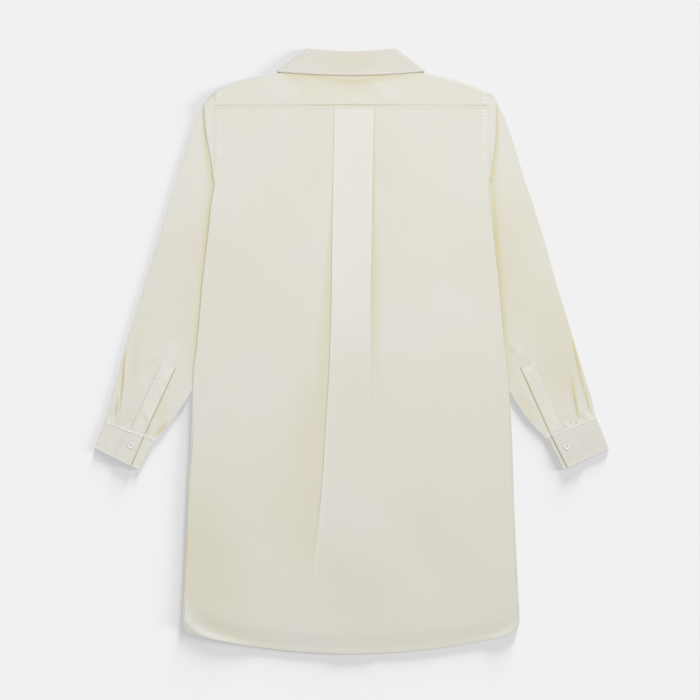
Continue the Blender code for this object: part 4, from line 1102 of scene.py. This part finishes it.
# Collar and its stand
collar = {
    "foldSide": (69.6, 485.0), "foldFront": (3.0, 396.0), "foldBend": (62.0, 425.0), "foldDip": 5.6,
    "left": (121.6, 447.4), "right": (117.4, 448.0), "edgeY": 440.4, "point": (52.0, 348.0),
    "axis": 3.2, "inset": 3.0, "outward": (0.85, 0.53), "wall": 1.2, "thick": 0.45,
    "front": 0.6, "back": 5.55, "steps": 6,
}
# the stand laps onto the yoke and rests on it near the middle; its tone paints the shade under the collar
# fall
stand = {
    "lap": 1.6, "rise": 0.12, "sink": 0.4, "tone": 0.4, "rows": 30, "restsFrom": 0.55,
    "above": 425.0, "half": 48.0,
}
# painted shade across the collar fall and a painted highlight along its lower edge, as in the lists for the
# back
collarPaintedShading = [
    (-60.0, 468.0, 0.0, 462.0, 60.0, 468.0, 22.0, 22.0, 0, 0.14),
    (-112.0, 449.0, 0.0, 442.0, 112.0, 449.0, 4.0, 4.0, 0, -0.3),
]


def collarStations():
    stations = []

    def front(side, t):
        flip = np.array([sides[side], 1.0])
        edge = np.array(collar[side]) * (1 - t) + np.array(collar["point"]) * t
        fold = bend(collar["foldSide"], collar["foldBend"], collar["foldFront"], t)
        low = neckFront("right", t)
        low[0] = max(low[0], collar["foldFront"][0] / 2)
        return {"neck": low * flip, "fold": fold * flip, "edge": edge * flip, "turn": math.pi, "side": side}

    def back(x):
        side = "left" if x < 0 else "right"
        corner = collar[side]
        fold = (collar["foldSide"][0] * x, collar["foldSide"][1] - collar["foldDip"] * (1.0 - abs(x) ** 1.8))
        edge = (corner[0] * x, collar["edgeY"] + (corner[1] - collar["edgeY"]) * abs(x) ** 2.2)
        low = (neck["half"] * x, neckBackY(neck["half"] * x))
        plan = {"neck": np.array(low), "fold": np.array(fold), "edge": np.array(edge)}
        return {**plan, "turn": 0.0, "side": side}

    stations += [front("left", t) for t in (1.0, 0.8, 0.55, 0.3, 0.1)]
    stations += [{**back(-1.0), "turn": math.pi * turn} for turn in (1.0, 0.75, 0.5, 0.25)]
    stations += [back(x) for x in (-1.0, -0.82, -0.6, -0.3, 0.0, 0.3, 0.6, 0.82, 1.0)]
    stations += [{**back(1.0), "turn": math.pi * turn} for turn in (0.25, 0.5, 0.75, 1.0)]
    return stations + [front("right", t) for t in (0.1, 0.3, 0.55, 0.8, 1.0)]


def collarPlace(station, plan, radius):
    turn = station["turn"]
    outward = np.array([sides[station["side"]] * collar["outward"][0], collar["outward"][1]])
    share = min(abs(station["fold"][0]) / collar["foldSide"][0], 1.0) ** 4
    x, y = plan + outward * (radius * math.sin(turn) - collar["inset"] * share)
    return (x, y, collar["axis"] + radius * math.cos(turn))


def makeCollar():
    layer = (collar["back"] - collar["front"]) / 2.0
    level = cloth["back"] - collar["axis"]
    bulge, middle = (layer - level) / 2.0, (layer + level) / 2.0
    start = collar["wall"] / 2 + bulge
    turn = [math.radians(a) for a in (90.0, 108.0, 126.0, 144.0, 162.0, 180.0)]
    shares = np.linspace(0.0, 1.0, stand["rows"])
    fall, band = [], []
    for station in collarStations():
        down = unit(station["edge"] - station["fold"])
        width = float(np.linalg.norm(station["edge"] - station["fold"]))
        section = [(start - bulge * math.sin(a), middle - bulge * math.cos(a)) for a in turn]
        section += [(s, layer) for s in spread(start, width, 22)] + [(width, layer)]
        fall.append([collarPlace(station, station["fold"] + down * s, r) for s, r in section])
        top = station["fold"] + down * (collar["wall"] + 2.0 * cloth["gap"])
        low = station["neck"] + unit(station["neck"] - top) * stand["lap"]
        band.append([collarPlace(station, top + (low - top) * share, level) for share in shares])
    marks = evenMarks(len(fall), collar["steps"])
    fall = refine(fall, marks)
    tone = lineField(fall.reshape(-1, 3), collarPaintedShading).reshape(fall.shape[:2])
    clothPiece("collarSatin", fall, "collar", (0.56, 0.075), ["yokeSatin"],
               collar["thick"], tone, collarSatin)
    band = refine(band, marks)
    tone = stand["tone"] + lineField(band.reshape(-1, 3), collarShade).reshape(band.shape[:2])
    under = surfaceOf(sheets["yokeSatin"]["obj"])
    for row in band:
        for place, share in zip(row, shares):
            x, y = place[:2]
            if share <= stand["restsFrom"] or y <= stand["above"] or abs(x) >= stand["half"]:
                continue
            hit = drop(under, x, y)
            if hit is None:
                continue
            rest = smooth((share - stand["restsFrom"]) / 0.35) * smooth((stand["half"] - abs(x)) / 10.0)
            high = stand["rise"] - stand["sink"] * smooth((share - 0.84) / 0.14)
            place[2] = place[2] * (1.0 - rest) + (hit.z / mm + high) * rest
    clothPiece("standSatin", band, "collar_stand", (0.47, 0.06), ["yokeSatin"], tone=tone)


makeCollar()

# Thread, stitched rows and buttonholes
thread = {
    "length": 2.4, "step": 3.3, "wide": 0.3, "high": 0.15, "colour": (0.87, 0.855, 0.8, 1.0),
    "roughness": 0.45, "twist": 900.0, "sheen": 0.3, "shade": 0.82, "relief": 0.00005,
}
# the cloth between needle holes, with painted shade at the holes and painted highlights between: beside
# seams, as rungs across the armholes, and as a thin strip along an edge that only carries painted golden
# shade
pucker = {
    "wide": 1.9, "high": 0.26, "least": 0.1, "groove": 0.03, "sink": 0.08, "uneven": 0.8,
    "tone": 0.3, "pale": 0.4, "flat": 0.0, "thick": 0.12, "step": 3.3,
}
ladder = {
    **pucker, "step": 5.6, "wide": 5.4, "high": 0.5, "least": 0.0, "uneven": 1.3, "tone": 0.35, "pale": 0.75,
}
shadeStrip = {
    **pucker, "wide": 0.9, "high": 0.0, "least": 0.1, "groove": 0.0, "sink": 0.04, "uneven": 0.0,
    "tone": 0.0, "pale": 0.0, "flat": 1.9,
}


def makeThread(name, colour):
    material, nodes, links, shader = newMaterial(name)
    setInputs(shader, {"Roughness": thread["roughness"], "Sheen Weight": thread["sheen"]})
    places = nodes.new("ShaderNodeTexCoord")
    twist = nodes.new("ShaderNodeTexWave")
    twist.bands_direction = "DIAGONAL"
    twist.inputs["Scale"].default_value = thread["twist"]
    links.new(places.outputs["Object"], twist.inputs["Vector"])
    shade = tuple(thread["shade"] * c for c in colour[:3]) + (1.0,)
    links.new(mixColours(nodes, links, twist.outputs["Fac"], shade, colour), shader.inputs["Base Color"])
    addBump(nodes, links, twist.outputs["Fac"], shader, thread["relief"])
    return material


creamThread = makeThread("creamThread", thread["colour"])


def oneStitch():
    # a rounded grain of thread, one unit long each way
    work = bmesh.new()
    bmesh.ops.create_uvsphere(work, u_segments=7, v_segments=5, radius=1.0)
    for face in work.faces:
        face.smooth = True
    bmesh.ops.rotate(work, verts=work.verts, matrix=Matrix.Rotation(math.pi / 2, 3, "Y"))
    return meshOf("oneStitch", work)


stitchMesh = oneStitch()


def measured(line):
    # a line with how far along it each of its corners lies
    line = np.asarray(line, dtype=float)
    return line, np.concatenate([[0.0], np.cumsum(np.linalg.norm(np.diff(line, axis=0), axis=1))])


def placeAt(line, lengths, at):
    return np.stack([np.interp(at, lengths, line[:, k]) for k in (0, 1)], axis=-1)


def wayAt(line, lengths, at, reach):
    # the way a line runs, from a little before a place to a little after it
    return unit(placeAt(line, lengths, at + reach) - placeAt(line, lengths, at - reach))


def evenPlaces(line, step):
    # even steps along a line, each with its way
    line, lengths = measured(line)
    count = max(int(lengths[-1] / step), 1)
    at = (np.arange(count) + 0.5) * lengths[-1] / count
    return placeAt(line, lengths, at), wayAt(line, lengths, at, 0.3)


def onCloth(name, work, host, material):
    obj = placed(name, meshOf(name, work, material))
    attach(obj, "root")
    sheets[host]["extra"].append(obj)
    return obj


def puckerRows(name, host, lines, soft=1.0, row=pucker):
    # the cloth along a stitched row, drawn down at every needle hole, with painted shade at the holes and a
    # painted highlight on each pucker
    surface = surfaceOf(sheets[host]["obj"])
    work = bmesh.new()
    uv = work.loops.layers.uv.new("clothMap")
    shade = work.verts.layers.float.new("paintedShading")
    lost = []
    for number, line in enumerate(lines):
        line, lengths = measured(line)
        total = lengths[-1]
        count = max(int(total / row["step"]), 1)
        made = bmesh.ops.create_grid(work, x_segments=6, y_segments=count * 4, size=0.5)["verts"]
        for vert in made:
            t, where = -2.0 * vert.co.x, (vert.co.y + 0.5) * total
            way = wayAt(line, lengths, where, 0.4)
            x, y = placeAt(line, lengths, where) + np.array([-way[1], way[0]]) * t * row["wide"]
            hit = drop(surface, x, y)
            if hit is None:
                lost.append(vert)
                continue
            beat = 0.5 + 0.5 * math.cos(2.0 * math.pi * where / total * count)
            loose = 1.0 + row["uneven"] * noise.noise(Vector((where / 7.0, number * 3.1, 0.5)))
            ends = min(1.0, min(where, total - where) / 1.5)
            crown = (1.0 - t * t) ** 2
            high = soft * crown * ends * loose * (row["high"] * (1.0 - beat) + row["least"])
            high -= row["groove"] * math.exp(-((t / 0.3) ** 2)) * ends + row["sink"]
            vert.co = hit + Vector((0.0, 0.0, high * mm))
            dark = row["tone"] * beat * math.exp(-((t / 0.45) ** 2)) + row["flat"] * (1.0 - t * t)
            vert[shade] = soft * (dark - row["pale"] * (1.0 - beat) * loose * crown)
    bmesh.ops.delete(work, geom=lost, context="VERTS")
    for face in work.faces:
        face.smooth = True
        for loop in face.loops:
            loop[uv].uv = (loop.vert.co.x, loop.vert.co.y)
    obj = onCloth(name, work, host, sheets[host]["obj"].data.materials[0])
    thicken(obj, row["thick"], -1.0)
    return obj


def addStitch(work, matrix):
    first = len(work.verts)
    work.from_mesh(stitchMesh)
    work.verts.ensure_lookup_table()
    bmesh.ops.transform(work, matrix=matrix, verts=work.verts[first:])


def sew(name, host, stitches, below=False, on=None):
    # stitches are (x, y, way x, way y, half length, half width, half height), laid on the surface
    surface = surfaceOf(on or sheets[host]["obj"])
    work = bmesh.new()
    up = Vector((0.0, 0.0, -1.0 if below else 1.0))
    missed = 0
    for x, y, wx, wy, long, wide, high in stitches:
        ends = [drop(surface, x + wx * long * end, y + wy * long * end, below) for end in (-0.6, 0.6)]
        if None in ends:
            missed += 1
            continue
        way = (ends[1] - ends[0]).normalized()
        cross = up.cross(way).normalized()
        turn = Matrix((way * long * mm, cross * wide * mm, way.cross(cross) * high * mm)).transposed()
        addStitch(work, Matrix.Translation((ends[0] + ends[1]) / 2) @ turn.to_4x4())
    print(f"{name}: {len(stitches) - missed} stitches, {missed} left out")
    return onCloth(name, work, host, creamThread)


def sewRows(name, host, lines, more=(), soft=1.0, welts=None, row=pucker):
    welt = puckerRows(name + "Seam", host, welts or lines, soft, row)
    sew(name + "Thread", host, [stitch for line in lines for stitch in rowOf(line)], on=welt)
    if more:
        sew(name + "Hole", host, more)


def rowOf(line):
    places, ways = evenPlaces(line, thread["step"])
    size = thread["length"] / 2, thread["wide"] / 2, thread["high"]
    return [(x, y, wx, wy, *size) for (x, y), (wx, wy) in zip(places, ways)]


def holeOf(x, y, wx, wy, length=13.0, wide=1.1):
    # close stitches round a buttonhole's slit: along both its sides, then across both its ends
    size = 0.75, 0.22, 0.22
    stitches = []
    for share in np.linspace(-0.5, 0.5, 25):
        for sign in (-1.0, 1.0):
            a, b = share * length, sign * wide
            stitches.append((x + wx * a - wy * b, y + wy * a + wx * b, -wy, wx, *size))
    for sign in (-1.0, 1.0):
        for share in (-0.9, -0.45, 0.0, 0.45, 0.9):
            a = sign * (0.5 * length + 0.4)
            stitches.append((x + wx * a - wy * share, y + wy * a + wx * share, wx, wy, *size))
    return stitches


def hemRow(cut, inset):
    # the hem's stitched row, as far in from its edge as asked for
    line = hemLine()[cut:-cut]
    ways = unit(np.gradient(line, axis=0))
    return line + np.stack([-ways[:, 1], ways[:, 0]], axis=1) * inset


def sewBody():
    seam = body["yokeSeam"] - stitching["yokeSeam"]
    rows = [[(-219.0, seam), (-31.0, seam)], [(-27.5, seam), (33.5, seam)], [(37.0, seam), (218.5, seam)]]
    threads, welts = {"yoke": [], "back": []}, {"yoke": [], "back": []}
    for side, sign in sides.items():
        places = [sign * (sideX(side, 300.0) - inset) for inset in stitching["armhole"][side]]
        for x, kept in [(x, threads) for x in places] + [(sum(places) / 2, welts)]:
            top = read(shoulderEdge, side, abs(x), key="x")
            kept["back"].append([(x, seam - 2.4), (x, stitching["armholeEnd"])])
            kept["yoke"].append([(x, body["yokeSeam"] + 1.6), (x, top - 2.4)])
    sewRows("back", "backSatin", rows)
    sewRows("hem", "backSatin", [hemRow(2, stitching["hem"])], soft=0.4)
    sewRows("armhole", "backSatin", threads["back"], welts=welts["back"], row=ladder)
    sewRows("yoke", "yokeSatin", threads["yoke"], welts=welts["yoke"], row=ladder)


sewBody()


def sewFront():
    front, edge = button["front"], body["lap"] - 2.0
    levels = [front["top"] - front["step"] * k for k in range(front["count"])]
    holes = [stitch for y in levels for stitch in holeOf(0.0, y, 0.0, 1.0)]
    rows = [rowOf([(x, -462.0), (x, neck["frontY"] - 8.0)]) for x in (-edge, edge)]
    line = hemRow(3, stitching["hem"] + frontPiece["shorter"])
    rows.append(rowOf(line[line[:, 0] > -12.0]))
    sew("frontRightThread", "frontSatinRight", [stitch for row in rows for stitch in row], below=True)
    sew("frontRightHole", "frontSatinRight", holes, below=True)
    sew("frontLeftThread", "frontSatinLeft", rowOf(line[line[:, 0] < -18.0]), below=True)


def sewCollar():
    stations = [station for station in collarStations() if station["turn"] == 0.0]
    lines = []
    for inset in stitching["collar"]:
        line = []
        for station in stations:
            up, corner = unit(station["fold"] - station["edge"]), station["edge"][0]
            inward = -math.copysign(inset * 1.5 * (abs(corner) / 121.0) ** 6, corner)
            plan = station["edge"] + up * inset + np.array([inward, 0.0])
            line.append(collarPlace(station, plan, 2.0)[:2])
        line = np.array(line)
        lines.append(along(np.arange(len(line), dtype=float), line, np.linspace(0, len(line) - 1.0, 60)))
        for side, sign in sides.items():
            corner, top = np.array(collar[side]), np.array(collar["foldSide"])
            way = unit(top - corner)
            inwards = np.array([-way[1], way[0]]) * (inset + 2.0)
            ends = corner + inwards + way * inset * 1.4, top + inwards - way * 5.0
            lines.append([(sign * x, y) for x, y in ends])
    sewRows("collar", "collarSatin", lines)


sewCollar()


def sewSleeves():
    for side, sign in sides.items():
        name = side.title()
        mirror = np.array([sign, 1.0])
        outer, inner = cuffCorners(side)
        into, laps = handWay(side), cuffLap(side)
        cross = unit(outer[0] - inner[0])
        inset = into * stitching["cuff"]
        aside = cross * stitching["cuff"] * 0.5
        top = [outer[0] + inset - cross * 2.5, laps[0] + inset + aside]
        low = [outer[1] - inset - cross * 2.5, laps[1] - inset + aside]
        rows = [top, low, [top[1] + into * 2.5, low[1] - into * 2.5]]
        rows.append([laps[0] + inset - cross * 3.0, inner[0] + inset + cross * 2.0])
        hole = holeOf(*(np.array(cuffShape[side]["button"]) + cross * 2.6), *cross, length=11.0)
        hole = [(sign * x, y, sign * wx, *rest) for x, y, wx, *rest in hole]
        sewRows("cuff" + name, "cuffSatin" + name, [np.array(row) * mirror for row in rows], hole)
        across = unit(cross + into * float(cross @ -into))
        near, end = stitching["placket"], placket["length"]
        far = placket["width"] - near
        frames = [(far, 1.0, far, end - near)]
        frames += [(near, end - down, far - 2.0, end - down) for down in (near, 26.0)]
        rows = [[laps[0] - into * b + across * a, laps[0] - into * d + across * c] for a, b, c, d in frames]
        sewRows("placket" + name, "placketSatin" + name, [np.array(row) * mirror for row in rows])
        # thin strips along the slit and the lap's edge that carry only painted golden shade
        slit = [laps[0] - into * down - cross * 0.5 for down in (end + 0.5, end * 0.5, 1.0)]
        puckerRows("slitShadeStrip" + name, "sleeveSatin" + name, [np.array(slit) * mirror], row=shadeStrip)
        lap = [laps[0] + into * 0.8 - cross * 0.5, laps[1] - into * 0.8 - cross * 0.5]
        puckerRows("lapShadeStrip" + name, "cuffSatin" + name, [np.array(lap) * mirror], row=shadeStrip)


sewSleeves()

# Buttons, turned from one profile and drilled four times
button = {
    "radius": 5.2, "thick": 1.6, "hole": 0.72, "spread": 1.4, "segments": 40,
    "profile": (
        (0.0, 0.0), (0.8, 0.0), (0.95, 0.12), (1.0, 0.4), (0.97, 0.78), (0.88, 0.98), (0.78, 1.0),
        (0.66, 0.86), (0.58, 0.72), (0.0, 0.7),
    ),
    "front": {"top": 352.0, "step": 90.0, "count": 8}, "cuffLevel": 4.5,
    "clouds": ((0.84, 0.83, 0.79, 1.0), (0.93, 0.92, 0.89, 1.0)), "tieWide": 0.00032, "tieHigh": 0.0003,
}


def makePearl():
    material, nodes, links, shader = newMaterial("pearl")
    setInputs(shader, {"Roughness": 0.22, "Coat Weight": 0.4, "Coat Roughness": 0.12})
    places = nodes.new("ShaderNodeTexCoord")
    clouds = nodes.new("ShaderNodeTexNoise")
    setInputs(clouds, {"Scale": 260.0, "Detail": 3.0, "Distortion": 1.5})
    links.new(places.outputs["Object"], clouds.inputs["Vector"])
    base = mixColours(nodes, links, clouds.outputs["Fac"], *button["clouds"])
    links.new(base, shader.inputs["Base Color"])
    return material


pearl = makePearl()


def blankButton():
    work = bmesh.new()
    radius, thick, hole, reach = (button[key] * mm for key in ("radius", "thick", "hole", "spread"))
    verts = [work.verts.new((r * radius, 0.0, z * thick)) for r, z in button["profile"]]
    edges = [work.edges.new(pair) for pair in zip(verts[:-1], verts[1:])]
    bmesh.ops.spin(work, geom=verts + edges, axis=(0, 0, 1), cent=(0, 0, 0), steps=button["segments"],
                   angle=2 * math.pi, use_merge=True)
    bmesh.ops.remove_doubles(work, verts=work.verts, dist=1e-6)
    bmesh.ops.recalc_face_normals(work, faces=work.faces)
    for face in work.faces:
        face.smooth = True
    blank = placed("buttonBlank", meshOf("buttonBlank", work))
    drill = bmesh.new()
    for i in range(4):
        angle = math.pi / 4 + math.pi / 2 * i
        made = bmesh.ops.create_cone(drill, cap_ends=True, segments=14, radius1=hole, radius2=hole,
                                     depth=4 * thick)
        place = (reach * math.cos(angle), reach * math.sin(angle), 0.0)
        bmesh.ops.translate(drill, verts=made["verts"], vec=place)
    bit = placed("drill", meshOf("drill", drill))
    cut = blank.modifiers.new("holes", "BOOLEAN")
    cut.operation, cut.solver, cut.object = "DIFFERENCE", "EXACT", bit
    graph = bpy.context.evaluated_depsgraph_get()
    mesh = bpy.data.meshes.new_from_object(blank.evaluated_get(graph))
    bpy.data.objects.remove(blank)
    bpy.data.objects.remove(bit)
    mesh.materials.clear()
    mesh.materials.append(pearl)
    mesh.set_sharp_from_angle(angle=math.radians(50.0))
    return mesh


sewFront()


def makeButtons():
    blank = blankButton()
    front = button["front"]
    spots = []
    for k in range(front["count"]):
        y = front["top"] - front["step"] * k
        spots.append((f"front_button_{k + 1}", 0.0, y, button["thick"], True, 0.0))
    for side, sign in sides.items():
        x, y = cuffShape[side]["button"]
        way = handWay(side)
        angle = math.atan2(way[1], sign * way[0])
        spots.append(("cuff_button_" + side, sign * x, y, button["cuffLevel"], False, angle))
    reach = button["spread"] * mm / math.sqrt(2.0)
    size = Matrix.Diagonal((reach * 1.25, button["tieWide"], button["tieHigh"], 1.0))
    for node, x, y, z, faceDown, angle in spots:
        place = Matrix.Translation((x * mm, y * mm, z * mm)) @ Matrix.Rotation(angle, 4, "Z")
        if faceDown:
            place = place @ Matrix.Rotation(math.pi, 4, "X")
        mesh = blank.copy()
        mesh.transform(place)
        first, *others = node.split("_")
        name = first + "".join(other.title() for other in others)
        obj = placed(name, mesh)
        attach(obj, "root")
        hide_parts(node)
        tie = bmesh.new()
        for offset in (-reach, reach):
            middle = Matrix.Translation((0.0, offset, button["thick"] * mm * 0.74))
            addStitch(tie, place @ middle @ size)
        tied = placed(name + "Thread", meshOf(name + "Thread", tie, creamThread))
        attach(tied, "root")
    print(f"buttons: {len(spots)}")


makeButtons()

# Floor and light: a large softbox from the upper right, a top light, and two low ones for the floor alone
floor = {"size": 40.0, "colour": (0.035, 0.035, 0.035, 1.0), "roughness": 0.9, "glow": 0.512}
lights = (
    {"name": "keyLight", "place": (1.6, 2.6, 3.4), "size": 2.2, "power": 75.0},
    {"name": "topLight", "place": (-0.3, 0.4, 3.8), "size": 2.4, "power": 30.0},
    {"name": "floorLight", "place": (0.9, 3.9, 0.42), "size": 0.15, "power": 172.0, "sun": True},
    {"name": "sideLight", "place": (4.1, 0.4, 0.65), "size": 0.18, "power": 69.0, "sun": True},
)
sky = {"colour": (1.0, 1.0, 1.0, 1.0), "strength": 0.475}


def makeStage():
    work = bmesh.new()
    bmesh.ops.create_grid(work, x_segments=1, y_segments=1, size=floor["size"] / 2)
    material, nodes, links, shader = newMaterial("paleFloor")
    setInputs(shader, {
        "Base Color": floor["colour"], "Roughness": floor["roughness"], "Specular IOR Level": 0.0,
        "Emission Color": (1.0, 1.0, 1.0, 1.0), "Emission Strength": floor["glow"],
    })
    ground = placed("floor", meshOf("floor", work, material))
    for light in lights:
        sun = light.get("sun")
        data = bpy.data.lights.new(light["name"], "SUN" if sun else "AREA")
        if sun:
            data.angle = light["size"]
        else:
            data.shape = "DISK"
            data.size = light["size"]
        data.energy = light["power"]
        lamp = placed(light["name"], data)
        lamp.location = light["place"]
        lamp.rotation_euler = (-Vector(light["place"])).to_track_quat("-Z", "Y").to_euler()
        if sun:
            lit = bpy.data.collections.new("litBy" + light["name"].title())
            lit.objects.link(ground)
            lamp.light_linking.receiver_collection = lit
    world = bpy.data.worlds.new("studio")
    world.use_nodes = True
    setInputs(world.node_tree.nodes["Background"], {"Color": sky["colour"], "Strength": sky["strength"]})
    bpy.context.scene.world = world
    bpy.context.scene.view_settings.view_transform = "Standard"
    print(f"stage: floor and {len(lights)} lights")


makeStage()
